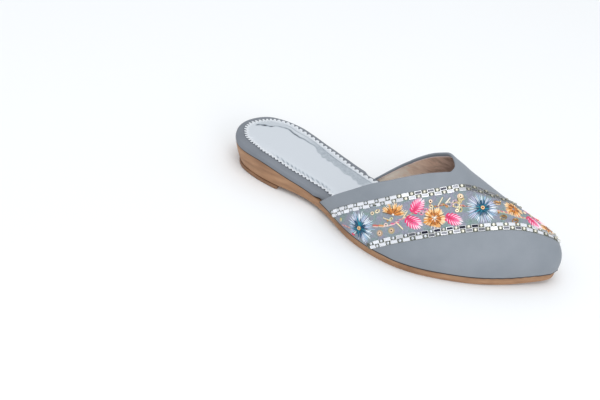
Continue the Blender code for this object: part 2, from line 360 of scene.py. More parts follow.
# %% [markdown]
# ## Laying sheets over the last
# Leather, lining and cloth are flat sheets before they are lasted, and that is how they are made here: a
# grid is added flat, and a function says where each of its points goes on the shoe. Solidify then gives a
# sheet its real thickness. Solid pieces, such as the sole, start the same way, rolled into a closed ring
# whose ends are welded.

# %% Helpers for sheets and rings
WELD = 0.00001


def coordinates(piece):
    """A piece's points, as they stand in its mesh."""
    flat = numpy.empty(len(piece.data.vertices) * 3)
    piece.data.vertices.foreach_get("co", flat)
    return flat.reshape(-1, 3)


def lay_sheet(name, across, along, place):
    """A flat grid whose points move to the shoe: place(u, v) takes their shares across and along."""
    piece = added(bpy.ops.mesh.primitive_grid_add, x_subdivisions=across, y_subdivisions=along, size=1)
    piece.name = name
    piece.data.name = name
    u, v, _ = coordinates(piece).T + 0.5
    piece.data.vertices.foreach_set("co", to_world(place(u, v)).ravel())
    piece.data.update()
    return piece


def weld(piece, closed=False):
    """Weld a sheet's seam and poles, and turn the faces of a closed piece outwards."""
    only(piece)
    bpy.ops.object.mode_set(mode="EDIT")
    bpy.ops.mesh.select_all(action="SELECT")
    bpy.ops.mesh.remove_doubles(threshold=WELD)
    if closed:
        bpy.ops.mesh.normals_make_consistent(inside=False)
    bpy.ops.object.mode_set(mode="OBJECT")


def finish_with(piece, kind, **settings):
    """Add a modifier and apply it."""
    modifier = piece.modifiers.new("finish", kind)
    for name, value in settings.items():
        setattr(modifier, name, value)
    only(piece)
    bpy.ops.object.modifier_apply(modifier=modifier.name)


def thicken(piece, thickness):
    """Give a sheet its thickness, away from the side that its faces look to."""
    finish_with(piece, "SOLIDIFY", thickness=thickness * MM, offset=-1.0, use_even_offset=False)


def points_of(piece):
    """A piece's points, in the last's millimetres."""
    return coordinates(piece) / MM - ORIGIN


def mark(piece, name, values):
    """Keep a number at each point of a piece, for its material to read."""
    piece.data.attributes.new(name, "FLOAT", "POINT").data.foreach_set("value", values)


def dress(piece, material):
    """Give a finished piece its material, smooth shading and body."""
    piece.data.materials.append(material)
    piece.data.shade_smooth()
    piece.data.set_sharp_from_angle(angle=math.radians(40))
    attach(piece, "root")
    print(f"{piece.name}: {sum(len(face.vertices) - 2 for face in piece.data.polygons)} triangles")


def ease(value, start, end):
    """A soft step from 0 at start to 1 at end."""
    t = numpy.clip((value - start) / (end - start), 0.0, 1.0)
    return t * t * (3 - 2 * t)


def uneven(shader, place, patch_mm, low, high, **noise):
    """A number that wanders between low and high, in patches of about a given size."""
    patches = add_node(shader, "TexNoise", Vector=place, Scale=PER_MM / patch_mm, **noise)
    return add_node(shader, "MapRange", Value=patches, To_Min=low, To_Max=high)


# %% [markdown]
# ## Grey synthetic leather
# The upper and the wrap round the footbed are polyurethane-coated synthetic leather: a matte film, pressed
# with a fine pebble grain, on a soft cloth back. Its colour hardly changes, so nearly all that the eye gets
# from it is the grain in the light and a faint cloudiness. The grain is drawn at 0.8 mm, a little coarser
# than it is. The wrap's copy of the leather is painted darker than the upper's, as painted shade. Two places
# look different, and pieces mark them: a dark band where the leather turns under at the sole, which is
# cement and painted shadow in the gap to the sole, and a pale line where the fold ends at its cut edge.

# %% The leather's material
def matte_coated_leather(name, dark, light):
    material, shader, place = new_material(name, dark, 0.5, IOR=1.5)
    cloud = add_node(shader, "TexNoise", Vector=place, Scale=PER_MM / 22, Detail=3)
    colour = add_node(shader, "ValToRGB", Fac=cloud, stops=((0.3, dark), (0.7, light)))
    # The pale line where the fold ends, and the dark band where the leather turns under: cement and painted
    # shadow in the gap to the sole.
    for marked, mark_colour in (("backing", "FFE2D8"), ("cement", "231C1A")):
        share = add_node(shader, "Attribute", attribute_name=marked).outputs["Fac"]
        mixed = add_node(
            shader, "Mix", data_type="RGBA", Factor_Float=share, A_Color=colour, B_Color=mark_colour
        )
        colour = mixed.outputs[MIXED_COLOUR]
    pebbles = add_node(
        shader, "TexVoronoi", feature="SMOOTH_F1", Vector=place, Scale=PER_MM / 0.8, Smoothness=0.6
    )
    sheen = uneven(shader, place, 0.35, 0.48, 0.62, Detail=1)
    hollows = add_node(shader, "TexNoise", Vector=place, Scale=PER_MM / 9, Detail=1)
    grain = add_node(shader, "Bump", Height=pebbles, Distance=0.06 * MM, Strength=0.5)
    folds = add_node(shader, "Bump", Height=hollows, Distance=0.2 * MM, Strength=0.3, Normal=grain)
    set_up(shader, Base_Color=colour, Roughness=sheen, Normal=folds)
    return material


leather = matte_coated_leather("matte_polyurethane_leather", "80878F", "8A9098")
# The wrap's copy is painted darker than the upper's leather: painted shade on the footbed's side.
wrap_leather_painted_shade = matte_coated_leather("matte_polyurethane_wrap", "737880", "7B8088")
print("materials:", leather.name, wrap_leather_painted_shade.name)


# %% [markdown]
# ## Creases
# Thin leather pulled over a last is never quite even. Soft hollows and ridges lie where the pull changed:
# behind the toe cap at the outer side, along the collar, and as small pleats low round the toe, where the
# spare leather is gathered under. Each is one row: where it lies, which way it runs, how long and wide it
# is, and how high.

# %% Soft troughs, ridges and toe pleats
CREASES = table(
    "along angle turn length width height",
    (152, 7, 35, 16, 4, -0.4), (163, 9, 28, 20, 4.5, 0.3), (176, 11, 20, 18, 4, -0.22),
    (190, 9, 10, 16, 4, 0.2), (206, 12, 0, 18, 5, -0.18), (228, 30, 70, 14, 5, 0.18),
    (236, 60, 80, 14, 4, -0.16), (108, 10, 40, 10, 3, -0.25), (122, 30, 55, 14, 4, 0.2),
    (150, 60, 60, 14, 5, -0.2), (172, 92, 85, 18, 6, -0.3), (165, 118, 100, 16, 5, 0.25),
    (140, 150, 125, 16, 4, -0.25), (122, 168, 140, 12, 3.5, 0.25), (180, 170, 160, 20, 4.5, -0.3),
    (205, 168, 170, 18, 4.5, 0.22), (226, 150, 120, 14, 4.5, -0.18),
)
DEGREE_MM = 0.72
PLEAT_PITCH, PLEAT_HEIGHT, PLEAT_FADE = 5.2, 0.16, 3.2
PLEATS_FROM, PLEATS_FULL = 196.0, 226.0
TOE_MIDDLE, TOE_RADIUS = 205.0, 32.0


def relief(y, angle, point):
    """How far the leather stands out from the last, in millimetres."""
    stands_out = numpy.zeros(numpy.shape(y))
    for along, crease_angle, turn, length, width, height in zip(*CREASES):
        ahead, round_it = y - along, (angle - crease_angle) * DEGREE_MM
        cosine, sine = math.cos(math.radians(turn)), math.sin(math.radians(turn))
        run, side = ahead * cosine + round_it * sine, round_it * cosine - ahead * sine
        stands_out += height * numpy.exp(-((run / length) ** 2 + (side / width) ** 2) * 2)
    place = numpy.minimum(y, LENGTH)
    about_toe = numpy.arctan2(point[..., 0] - middle_at(place), y - TOE_MIDDLE) * TOE_RADIUS
    low = numpy.exp(-numpy.maximum(point[..., 2] - feather_at(place), 0) / PLEAT_FADE)
    wobble = numpy.sin(about_toe / 9.0) + 0.6 * numpy.sin(about_toe / 4.1 + 1.3)
    pleats = numpy.sin(2 * math.pi * about_toe / PLEAT_PITCH + wobble)
    return stands_out + PLEAT_HEIGHT * pleats * low * ease(y, PLEATS_FROM, PLEATS_FULL)


print(len(CREASES.along), "creases, the deepest", -CREASES.height.min(), "mm")


# %% [markdown]
# ## The vamp
# At the topline the leather is folded over the lining: it comes up the outside, turns round an edge as
# thick as the whole wall, and ends 1 to 2.5 mm inside, furthest in at the throat. So the sheet's rows run
# from the toe up to the edge, half round it in a bend, and down the inside. How far a row is from the edge
# is measured square to the edge, so that the fold keeps its width where the topline runs slantwise.

# %% The folded leather sheet
WALL, RIM, LEATHER = 1.6, 1.15, 0.35
FOLD_AT_ENDS, FOLD_IN_FRONT = 1.0, 2.5
SIDE_ANGLE, FRONT_ANGLE = 10.0, 62.0
# The height of the dark band low on the vamp and the wrap: cement and painted shadow.
GLUE_AND_SHADOW_BAND = 1.2
VAMP_AROUND = 240
VAMP_ROWS, BEND_ROWS, FOLD_ROWS = 150, 8, 5
ALL_VAMP_ROWS = VAMP_ROWS + BEND_ROWS + FOLD_ROWS
CAP_ROWS = 7
CROWDING = 0.55


def topline_pace(angle):
    """How many millimetres along the shoe make one millimetre square to the topline."""
    _, _, along, _ = skin_frame(topline_at(angle), angle)
    edge_step = skin(topline_at(angle + 0.5), angle + 0.5) - skin(topline_at(angle - 0.5), angle - 0.5)
    return 1 / numpy.linalg.norm(numpy.cross(along, unit(edge_step)), axis=-1)


def at_depth(y, angle, depth):
    """A point of the wall, so many millimetres under the leather's outer face."""
    point, normal, _, _ = skin_frame(y, angle)
    return point + (relief(y, angle, point) - depth)[..., None] * normal


def closed_at_toe(points, rows_from_end):
    """The last rows at the toe, drawn in to a point on the featherline, so that they end in a round cap."""
    end = points[rows_from_end == 0]
    low, high = end.min(axis=0), end.max(axis=0)
    tip = numpy.array([(low[0] + high[0]) / 2, 0.0, low[2]])
    drawn = numpy.sqrt(1 - (1 - numpy.clip(rows_from_end / CAP_ROWS, 0, 1)) ** 2)
    return tip * [1, 0, 1] + (points - tip) * numpy.stack([drawn, numpy.ones_like(drawn), drawn], axis=1)


def leather_place(u, v):
    angle = 180.0 * (1 - u + CROWDING * numpy.sin(2 * math.pi * u) / (2 * math.pi))
    row = numpy.rint(v * ALL_VAMP_ROWS)
    pace, topline = topline_pace(angle), topline_at(angle)
    start = topline + pace * RIM / 2
    outer = start + (LENGTH - start) * numpy.sin(math.pi / 2 * numpy.clip(1 - row / VAMP_ROWS, 0, 1))
    bend = numpy.clip((row - VAMP_ROWS) / BEND_ROWS, 0, 1) * math.pi
    in_front = ease(numpy.minimum(angle, 180 - angle), SIDE_ANGLE, FRONT_ANGLE)
    folded_in = FOLD_AT_ENDS + (FOLD_IN_FRONT - FOLD_AT_ENDS) * in_front
    fold = numpy.maximum(row - VAMP_ROWS - BEND_ROWS, 0) / FOLD_ROWS * folded_in
    inner = topline + pace * (RIM / 2 * (1 - numpy.sin(bend)) + fold)
    y = numpy.where(row <= VAMP_ROWS, outer, inner)
    return closed_at_toe(at_depth(y, angle, RIM / 2 * (1 - numpy.cos(bend))), row)


def mark_glue_and_shadow(piece, start, end):
    """Mark the dark band of glue and painted shadow where leather turns under at the sole, between two
    heights over the featherline.
    """
    _, y, z = points_of(piece).T
    mark(piece, "cement", 1 - ease(z - feather_at(clamped(y)), start, end))


vamp = lay_sheet("leather_vamp", VAMP_AROUND, ALL_VAMP_ROWS, leather_place)
vamp_row = numpy.repeat(numpy.arange(ALL_VAMP_ROWS + 1), VAMP_AROUND + 1)
# The last two rows of the fold, inside, are painted pale along its cut edge.
mark(vamp, "backing", (vamp_row >= ALL_VAMP_ROWS - 1).astype(float))
# A dark band low on the vamp: cement and painted shadow where it meets the sole.
mark_glue_and_shadow(vamp, GAP + 0.7 * GLUE_AND_SHADOW_BAND, GAP + GLUE_AND_SHADOW_BAND)
weld(vamp)
thicken(vamp, LEATHER)
dress(vamp, leather)
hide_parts("upper")


# %% [markdown]
# ## The lining
# Inside, the vamp is lined with a thin knitted cloth that carries a bronze coating. The coating is rubbed
# and uneven, so it is mottled from dark brown to a rosy tan, with a low metallic shine. Its colour is also
# painted darker from the opening towards the toe: painted shade deep under the vamp.

# %% Bronze lining cloth
LINING, LINING_DEPTH = 0.2, 0.85
LINING_START, LINING_END = 1.1, LENGTH - 1.5
LINING_AROUND, LINING_ROWS = 130, 90
PALE_END, DARK_END = -0.012, 0.036


def bronze_coated_lining():
    material, shader, place = new_material("bronze_coated_knit", "7E6250", 0.42, Metallic=0.15)
    drawn = add_node(shader, "Mapping", Vector=place, Scale=(1.0, 0.4, 1.0))
    mottle = add_node(
        shader, "TexNoise", Vector=drawn, Scale=PER_MM / 5, Detail=4, Roughness=0.62, Distortion=0.6
    )
    along = add_node(shader, "SeparateXYZ", Vector=place).outputs["Y"]
    # Painted shade: the colour darkens along the shoe, from the opening towards the toe, deep under the vamp.
    wear_and_shade = add_node(shader, "MapRange", Value=along, From_Min=PALE_END, From_Max=DARK_END)
    blend = add_node(shader, "Math", operation="SUBTRACT", Value=mottle, Value_001=0.55)
    mixed = add_node(shader, "Math", operation="SUBTRACT", Value=wear_and_shade, Value_001=blend)
    mottle_and_shade_stops = ((0.05, "FFF2E2"), (0.35, "FBDBC2"), (0.6, "DDB79F"), (0.95, "987766"))
    colour = add_node(shader, "ValToRGB", Fac=mixed, stops=mottle_and_shade_stops)
    sheen = uneven(shader, place, 3, 0.34, 0.55)
    knit = add_node(shader, "TexVoronoi", Vector=place, Scale=PER_MM / 0.7)
    loops = add_node(shader, "Bump", Height=knit, Distance=0.08 * MM, Strength=0.5)
    set_up(shader, Base_Color=colour, Roughness=sheen, Normal=loops)
    return material


def lining_place(u, v):
    angle = 180.0 * u
    start = topline_at(angle) + topline_pace(angle) * LINING_START
    y = start + (LINING_END - start) * numpy.sin(math.pi / 2 * v)
    depth = numpy.full(y.shape, LINING_DEPTH)
    return closed_at_toe(at_depth(y, angle, depth), numpy.rint((1 - v) * LINING_ROWS))


lining = lay_sheet("vamp_lining", LINING_AROUND, LINING_ROWS, lining_place)
weld(lining)
thicken(lining, LINING)
dress(lining, bronze_coated_lining())


# %% [markdown]
# ## Sole, lift and footbed
# These are rings round the same outline. A profile says, row by row, how far each ring lies towards the
# spine, a line along the piece's middle, how far inside the outline it lies and how high it is. Its rows
# run from the middle of the bottom, up the side, to the middle of the top.

# %% Rings round the outline
HEEL_TAPER, HEEL_TAPER_END, HEEL_TAPER_CURVE = 5.0, 50.0, 1.3
SPINE = (26.0, 236.0)


def towards_spine(x, y, share):
    """Move points of a ring towards the piece's spine: 1 puts them on it."""
    spine_y = numpy.clip(y, *SPINE)
    return x + (middle_at(spine_y) - x) * share, y + (spine_y - y) * share


def at_row(profile, row):
    """Read a profile's columns at rows that may lie between two others."""
    return (numpy.interp(row, numpy.arange(len(column)), column) for column in profile)


def heel_inset(y, share):
    """The sole's wall at a share of its height: the low heel draws in towards the floor."""
    taper = HEEL_TAPER * (1 - ease(y, 0.0, HEEL_TAPER_END)) * (1 - share) ** HEEL_TAPER_CURVE
    return SOLE_EDGE_INSET + taper


def ring_piece(name, around, rows, place):
    """A closed solid of rings: place(share round, row) gives its points; the end rows lie on the spine."""
    piece = lay_sheet(name, around, rows - 1, lambda u, v: place(u, v * (rows - 1)))
    weld(piece, closed=True)
    return piece


# %% [markdown]
# The sole is one piece of thermoplastic rubber, moulded in a polished steel mould, tan and matte, with a
# faint flow of the colour and light scuffs along its edge.

# %% The moulded sole and its lift
SOLE_PROFILE = table(
    "spine share inset height",
    (1, 0, 1, 0), (0.6, 0, 1, 0), (0.2, 0, 1, 0), (0, 0, 1, 0), (0, 0, 0.45, 0.12), (0, 0, 0.1, 0.35),
    (0, 0.03, 0, 0.6), (0, 0.25, 0, 0), (0, 0.5, 0, 0), (0, 0.75, 0, 0), (0, 0.95, 0, 0), (0, 1, 0.15, 0),
    (0, 1, 0.5, 0), (0.3, 1, 0.5, 0), (1, 1, 0.5, 0),
)
LIFT_FRONT, LIFT_PROUD, LIFT_SPINE = 49.0, 0.2, 26.0
LIFT_PROFILE = table(
    "spine inset height",
    (1, 0.9, 0), (0, 0.9, 0), (0, 0.35, 0.15), (0, 0, 0.6), (0, 0, 1.8), (0, 0, 2.85), (0, 0.3, 3),
    (1, 0.3, 3),
)
heel_shares = numpy.linspace(0.0, 0.5, EDGE_POINTS)
LIFT_REACH = float(numpy.interp(LIFT_FRONT, outline(heel_shares)[1], heel_shares))
BREAST_SHARE = 0.1


def moulded_rubber(name, dark, mid, light):
    """Thermoplastic rubber as it leaves the mould: its colour is drawn out along the flow."""
    material, shader, place = new_material(name, mid, 0.55, IOR=1.52)
    stretched = add_node(shader, "Mapping", Vector=place, Scale=(1.0, 0.35, 2.6))
    flow = add_node(shader, "TexNoise", Vector=stretched, Scale=PER_MM / 9, Detail=4, Roughness=0.6)
    colour = add_node(shader, "ValToRGB", Fac=flow, stops=((0.3, dark), (0.5, mid), (0.72, light)))
    sheen = uneven(shader, place, 2, 0.45, 0.7, Detail=3)
    scuffs = add_node(shader, "TexNoise", Vector=place, Scale=PER_MM / 0.5, Detail=3)
    wear_and_shade = add_node(shader, "Bump", Height=scuffs, Distance=0.05 * MM, Strength=0.5)
    set_up(shader, Base_Color=colour, Roughness=sheen, Normal=wear_and_shade)
    return material


def sole_place(u, row):
    spine, share, inset, height = at_row(SOLE_PROFILE, row)
    x, y = outline(u, heel_inset(outline(u)[1], share) + inset)
    x, y = towards_spine(x, y, spine)
    low, high = tread_at(clamped(y)), feather_at(clamped(y))
    return numpy.stack([x, y, low + share * (high - low) + height], -1)


def lift_place(u, row):
    """The ring runs round the heel, and straight back across the breast."""
    spine, inset, height = at_row(LIFT_PROFILE, row)
    round_heel = (1 - 2 * numpy.clip(u / (1 - BREAST_SHARE), 0, 1)) * LIFT_REACH
    x, y = outline(round_heel, heel_inset(outline(round_heel)[1], 0.0) - LIFT_PROUD + inset)
    y = numpy.minimum(y, LIFT_FRONT - inset)
    across = numpy.clip((u - 1 + BREAST_SHARE) / BREAST_SHARE, 0, 1)
    wall = heel_inset(LIFT_FRONT, 0.0) - LIFT_PROUD + inset
    start_x, end_x = (outline(corner, wall)[0] for corner in (LIFT_REACH, 1 - LIFT_REACH))
    breast = u > 1 - BREAST_SHARE
    x = numpy.where(breast, end_x + (start_x - end_x) * across, x)
    y = numpy.where(breast, LIFT_FRONT - inset, y)
    x = x + (middle_at(LIFT_SPINE) - x) * spine
    return numpy.stack([x, y + (LIFT_SPINE - y) * spine, height], -1)


sole = ring_piece("moulded_sole", 360, len(SOLE_PROFILE.height), sole_place)
dress(sole, moulded_rubber("moulded_tan_rubber", "8A6549", "A27A5A", "B48D6C"))
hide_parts("outsole")
lift = ring_piece("heel_lift", 200, len(LIFT_PROFILE.height), lift_place)
dress(lift, moulded_rubber("moulded_brown_lift", "735139", "8A6549", "9B7557"))
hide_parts("heel_top_piece")


# %% [markdown]
# The footbed is a firm board under a thin foam, wrapped in the same coated leather and cemented below. A
# slab with a bevelled edge would do for a straight wall. Rings round the outline are used instead, because
# the wall steps in where the vamp comes down beside it, and the wrap lies a little slack between.

# %% The wrapped footbed
FOOTBED_INSET, FOOTBED_HEIGHT, FOOTBED_ROUND = 0.1, 4.8, 1.9
COLLAR_LATERAL, COLLAR_MEDIAL = 85.0, 101.5
NOTCH, NOTCH_LEAD = 5.0, 2.0
WRAP_SLACK = 0.1
ROUND_TURNS = [math.radians(turn) for turn in range(0, 91, 15)]
WRAP_PROFILE = table(
    "spine inset height",
    (1, 1.8, 0), (0, 1.8, 0), (0, 0.6, 0.25), (0, 0.3, 0.5), (0, 0.15, GLUE_AND_SHADOW_BAND - 0.1), (0, 0.12, GLUE_AND_SHADOW_BAND),
    (0, 0, 1.7),
    *((0, FOOTBED_ROUND * (1 - math.cos(turn)), FOOTBED_HEIGHT - FOOTBED_ROUND * (1 - math.sin(turn)))
      for turn in ROUND_TURNS),
    (0, 3.5, FOOTBED_HEIGHT), (0, 7.5, FOOTBED_HEIGHT), (1, 7.5, FOOTBED_HEIGHT),
)


def inside_vamp(x, y):
    """0 where the footbed lies open, 1 where the vamp's wall stands beside it."""
    corner = numpy.where(x > middle_at(clamped(y)), COLLAR_LATERAL, COLLAR_MEDIAL)
    return ease(y, corner - NOTCH - NOTCH_LEAD, corner - NOTCH_LEAD)


def footbed_place(u, row):
    spine, inset, height = at_row(WRAP_PROFILE, row)
    x, y = outline(u)
    wrap = FOOTBED_INSET + inside_vamp(x, y) * (WALL + 3 * GAP - FOOTBED_INSET)
    slack = WRAP_SLACK * numpy.sin(y / 7.3) * numpy.sin(y / 3.1 + 1.0) * ease(height, 1.0, 4.0)
    x, y = outline(u, wrap + inset + slack)
    x, y = towards_spine(x, y, spine)
    return numpy.stack([x, y, feather_at(clamped(y)) + GAP * (height <= 0) + height], -1)


footbed = ring_piece("wrapped_footbed", 420, len(WRAP_PROFILE.height), footbed_place)
# A dark band low on the wrap: cement and painted shadow in the gap to the sole.
mark_glue_and_shadow(footbed, GLUE_AND_SHADOW_BAND - 0.1, GLUE_AND_SHADOW_BAND)
dress(footbed, wrap_leather_painted_shade)
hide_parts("footbed")


# %% [markdown]
# ## The silver sock
# The sock is a polyurethane foil, silver and nearly a mirror, on thin foam. Its edge is cut with pinking
# shears, so it runs in small teeth, and a dark sheet laid under it shows between them: painted shade in the
# hollows of the teeth. The sock lies nearer the edge at the inner side than at the outer. The foam pad rises
# softly from the edge, and the foil is painted paler along the edge: a painted highlight. Along the inner
# side the foil is crumpled: a broken crease starts as a dark wedge at the heel and fades forwards, with a
# softer line beside it. The darkness of the crease, and of faint wrinkles at the outer waist, is painted
# shade in the foil's colour.

# %% The sock's outline, teeth and creases
INNER_DEPTH, OUTER_DEPTH = 2.1, 1.4
INNER_TOOTH, OUTER_TOOTH = 3.9, 2.9
FOIL, PAD_RISE, EDGE_WIDTH = 0.4, 0.9, 4.5
CREASE_DEPTH = 0.3
SHADE_SHEET, SHADE_SHEET_SUNK = 0.25, 0.1
SOCK_FLOOR = FOOTBED_HEIGHT + GAP
AROUND_SOCK, BORDER_ROWS, PAD_ROWS = 960, 8, 44
SOCK_ROWS = 2 + BORDER_ROWS + PAD_ROWS
BORDERS = table(
    "y outer inner",
    (0, 5.6, 5.6), (2.2, 6.8, 6), (4.1, 7.2, 6.3), (7.7, 7.5, 6.2), (12, 8.3, 5.7), (17.6, 8.2, 5),
    (22, 8, 4.6), (26, 7.2, 4.3), (30, 6.4, 4.3), (38, 6.3, 5.4), (54, 6.3, 5.3), (70, 6.6, 5.1),
    (84, 8.6, 6), (110, 8.6, 7), (230, 7, 7), (250, 7, 7),
)
CRUSHED = table(
    "y crease deep soft",
    (9.5, -3.2, 0, -12), (11.2, -4.4, 1, -14), (13.4, -5.9, 0.55, -15.5), (15.6, -6.9, 1, -17),
    (18, -8.2, 0.45, -17.6), (20.3, -9.4, 1, -18), (22.3, -12.2, 0.4, -18.3), (25.4, -13.9, 0.5, -18.6),
    (31, -15.6, 0.7, -19.4), (36.4, -14.2, 0.9, -18.8), (40.5, -14.2, 0.8, -19.2), (49.9, -15.4, 0.5, -19.6),
    (60.7, -11.4, 0.35, -17.6), (69.3, -8.3, 0.35, -15.6), (79.7, -6.7, 0.3, -13.4), (95, -2, 0.25, -11),
    (112, 1, 0, -8),
)
outer_border_at = level_curve(BORDERS.y, BORDERS.outer)
inner_border_at = level_curve(BORDERS.y, BORDERS.inner)
crease_x_at = flowing_curve(CRUSHED.y, CRUSHED.crease)
crease_deep_at = level_curve(CRUSHED.y, CRUSHED.deep)
soft_x_at = flowing_curve(CRUSHED.y, CRUSHED.soft)


def sock_border(x, y):
    """The margin of wrap left bare round the sock, to the middle of its teeth."""
    y = clamped(y)
    return numpy.where(x > middle_at(y), outer_border_at(y), inner_border_at(y))


def pinked_edge():
    """At each step round the sock, 1 at a tooth's tip and 0 in a hollow; the inner side's teeth are wider."""
    u = numpy.arange(AROUND_SOCK + 1) / AROUND_SOCK
    pitch = numpy.where((u > 0.55) | (u < 0.06), INNER_TOOTH, OUTER_TOOTH)
    turn = numpy.cumsum(numpy.diff(u, prepend=0.0) * PERIMETER / pitch)
    tooth = ease(numpy.abs(turn % 1.0 - 0.5) * 2, 0.15, 0.6)
    tooth[-1] = tooth[0]
    return tooth


tooth_at = pinked_edge()
print(int((numpy.diff(tooth_at >= 0.5)).sum() / 2), "teeth round the sock")


def creases_at(x, y):
    """How deeply the foil is creased, from 0 to 1: the crease, the soft line, and the band between them."""
    first, second, last = CRUSHED.y[0], CRUSHED.y[1], CRUSHED.y[-1]
    near_y = numpy.clip(y, 0.0, last)
    jag = 0.6 * numpy.sin(y / 1.1 + 2.0 * numpy.sin(y / 5.3)) + 0.7 * numpy.sin(y / 3.1)
    crease = crease_x_at(near_y) + jag * ease(y, 36.0, 48.0)
    soft = soft_x_at(near_y) + 0.4 * numpy.sin(y / 5.0)
    wide = 1.45 - 0.6 * ease(y, 12.0, 24.0)
    line = numpy.exp(-((x - crease) / wide) ** 2) * crease_deep_at(near_y)
    soft_line = 0.3 * numpy.exp(-((x - soft) / 0.7) ** 2) * (ease(y, 20.0, 30.0) + 0.9 * ease(y, 52.0, 66.0))
    band = 0.3 * ease(x, soft - 0.8, soft + 0.6) * ease(crease + 1.0 - x, 0.0, 1.6) * ease(y, 40.0, 58.0)
    lens = 0.12 * ease(x, soft, soft + 2.0) * ease(crease - x, 0.0, 2.0) * (1 - ease(y, 26.0, 36.0))
    deepest = numpy.maximum.reduce([line, soft_line, band, lens])
    return deepest * ease(y, first, second) * (1 - ease(y, 100.0, last))


def wrinkle_shade_at(x, y):
    """Faint wrinkles just inside the outer edge, at the waist of the shoe, painted as shade in the foil's
    colour.
    """
    y = clamped(y)
    inside = middle_at(y) + half_width_at(y) - outer_border_at(y) - x
    ripple = 0.5 + 0.5 * numpy.sin(y * 1.7 + inside * 1.9 + 1.6 * numpy.sin(y / 4.7))
    within = ease(inside, 0.2, 0.9) * (1 - ease(inside, 2.2, 4.8))
    return 0.7 * ripple * within * ease(y, 34.0, 46.0) * (1 - ease(y, 84.0, 92.0))


# %% The padded foil sock, and a dark sheet under it as painted shade
def sock_place(u, row):
    x, y = outline(u)
    outer = ease(u, 0.05, 0.07) * (1 - ease(u, 0.5, 0.6))
    depth = INNER_DEPTH + (OUTER_DEPTH - INNER_DEPTH) * outer
    border = sock_border(x, y)
    edge = border + depth * (0.5 - tooth_at[numpy.rint(u * AROUND_SOCK).astype(int)])
    over_edge = numpy.clip((row - 2) / BORDER_ROWS, 0, 1)
    over_pad = numpy.clip((row - 2 - BORDER_ROWS) / PAD_ROWS, 0, 1)
    x, y = outline(u, edge + (border + EDGE_WIDTH - edge) * over_edge)
    x, y = towards_spine(x, y, numpy.where(row == 0, 1.0, over_pad))
    rise = PAD_RISE * ease(over_edge + 3 * over_pad, 0.1, 1.6)
    crush = -CREASE_DEPTH * creases_at(x, y) * ease(over_edge, 0.1, 0.6)
    height = numpy.where(row <= 1, 0.0, FOIL + rise + crush)
    return numpy.stack([x, y, feather_at(clamped(y)) + SOCK_FLOOR + height], -1)


def silver_foil():
    material, shader, place = new_material("silver_polyurethane_foil", "DFE4EA", 0.3, Metallic=0.85)
    sheen = uneven(shader, place, 12, 0.28, 0.42, Detail=4, Roughness=0.6)
    # Painted shade: the foil's colour darkens in its creases and wrinkles, broken up by a mottle.
    crushed = add_node(shader, "Attribute", attribute_name="crushed").outputs["Fac"]
    mottle = uneven(shader, place, 2.2, 0.1, 1.9, Detail=4, Roughness=0.7)
    depth = add_node(shader, "Math", operation="MULTIPLY", Value=crushed, Value_001=mottle)
    crease_shade_stops = ((0.0, "DFE4EA"), (0.2, "C9D0D7"), (0.45, "A6AFB8"), (0.9, "4C525B"))
    colour = add_node(shader, "ValToRGB", Fac=depth, stops=crease_shade_stops)
    ring = add_node(shader, "SeparateXYZ", Vector=add_node(shader, "UVMap")).outputs["Y"]
    # Painted highlight: the foil is painted paler along its pinked edge, over the first rows of the sock.
    pale = add_node(
        shader, "MapRange", Value=ring, From_Min=3 / SOCK_ROWS, From_Max=7 / SOCK_ROWS, To_Min=1.0, To_Max=0.0
    )
    mixed = add_node(shader, "Mix", data_type="RGBA", Factor_Float=pale, A_Color=colour, B_Color="F3F6FA")
    swells = add_node(shader, "TexNoise", Vector=place, Scale=PER_MM / 6, Distortion=0.4)
    specks = add_node(shader, "TexNoise", Vector=place, Scale=PER_MM / 0.6)
    foam = add_node(shader, "Bump", Height=swells, Distance=0.2 * MM, Strength=0.3)
    fine = add_node(shader, "Bump", Height=specks, Distance=0.03 * MM, Strength=0.4, Normal=foam)
    set_up(shader, Base_Color=mixed.outputs[MIXED_COLOUR], Roughness=sheen, Normal=fine)
    return material


def shade_sheet_place(u, row):
    """The dark sheet under the sock, painted shade: a thin plain sheet, as wide as the teeth's hollows are
    deep.
    """
    x, y = outline(u, sock_border(*outline(u)) + 0.2)
    x, y = towards_spine(x, y, numpy.where((row == 0) | (row == 3), 1.0, 0.0))
    height = feather_at(clamped(y)) + SOCK_FLOOR - SHADE_SHEET_SUNK + numpy.where(row >= 2, SHADE_SHEET, 0.0)
    return numpy.stack([x, y, height], -1)


def painted_shade_sheet():
    """A dark matte sheet that stands in for shade, textured as needled fibres that lie every way, so it has
    neither shine nor grain.
    """
    material, shader, place = new_material("dark_needled_felt", "55585E", 0.9)
    fibre = add_node(shader, "TexNoise", Vector=place, Scale=PER_MM / 0.8, Detail=3)
    colour = add_node(shader, "ValToRGB", Fac=fibre, stops=((0.3, "44474D"), (0.7, "6A6E75")))
    fuzz = add_node(shader, "Bump", Height=fibre, Distance=0.1 * MM, Strength=0.7)
    set_up(shader, Base_Color=colour, Normal=fuzz)
    return material


sock = ring_piece("silver_sock", AROUND_SOCK, SOCK_ROWS + 1, sock_place)
sock_x, sock_y, _ = points_of(sock).T
# The creases and the wrinkles are kept for the foil's painted shade.
mark(sock, "crushed", numpy.maximum(creases_at(sock_x, sock_y), wrinkle_shade_at(sock_x, sock_y)))
dress(sock, silver_foil())
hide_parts("sock_lining")
# A dark sheet under the sock's edge: painted shade that shows between the teeth.
shade_sheet = ring_piece("sock_felt_back", 500, 4, shade_sheet_place)
dress(shade_sheet, painted_shade_sheet())


# %% [markdown]
# ## The embroidered band
# A slanting band of cloth crosses the vamp between two strips of mirror work. It rises from the outer side,
# passes low over the toes and comes down the inner side. One table gives the middles of both strips: the
# place along the shoe at each angle round the section. The band's ground is a plain woven cloth of dull
# blue-grey, with a green cast where the dye is thin. It lies on the leather, 0.3 mm proud, and the strips
# hide its cut edges.

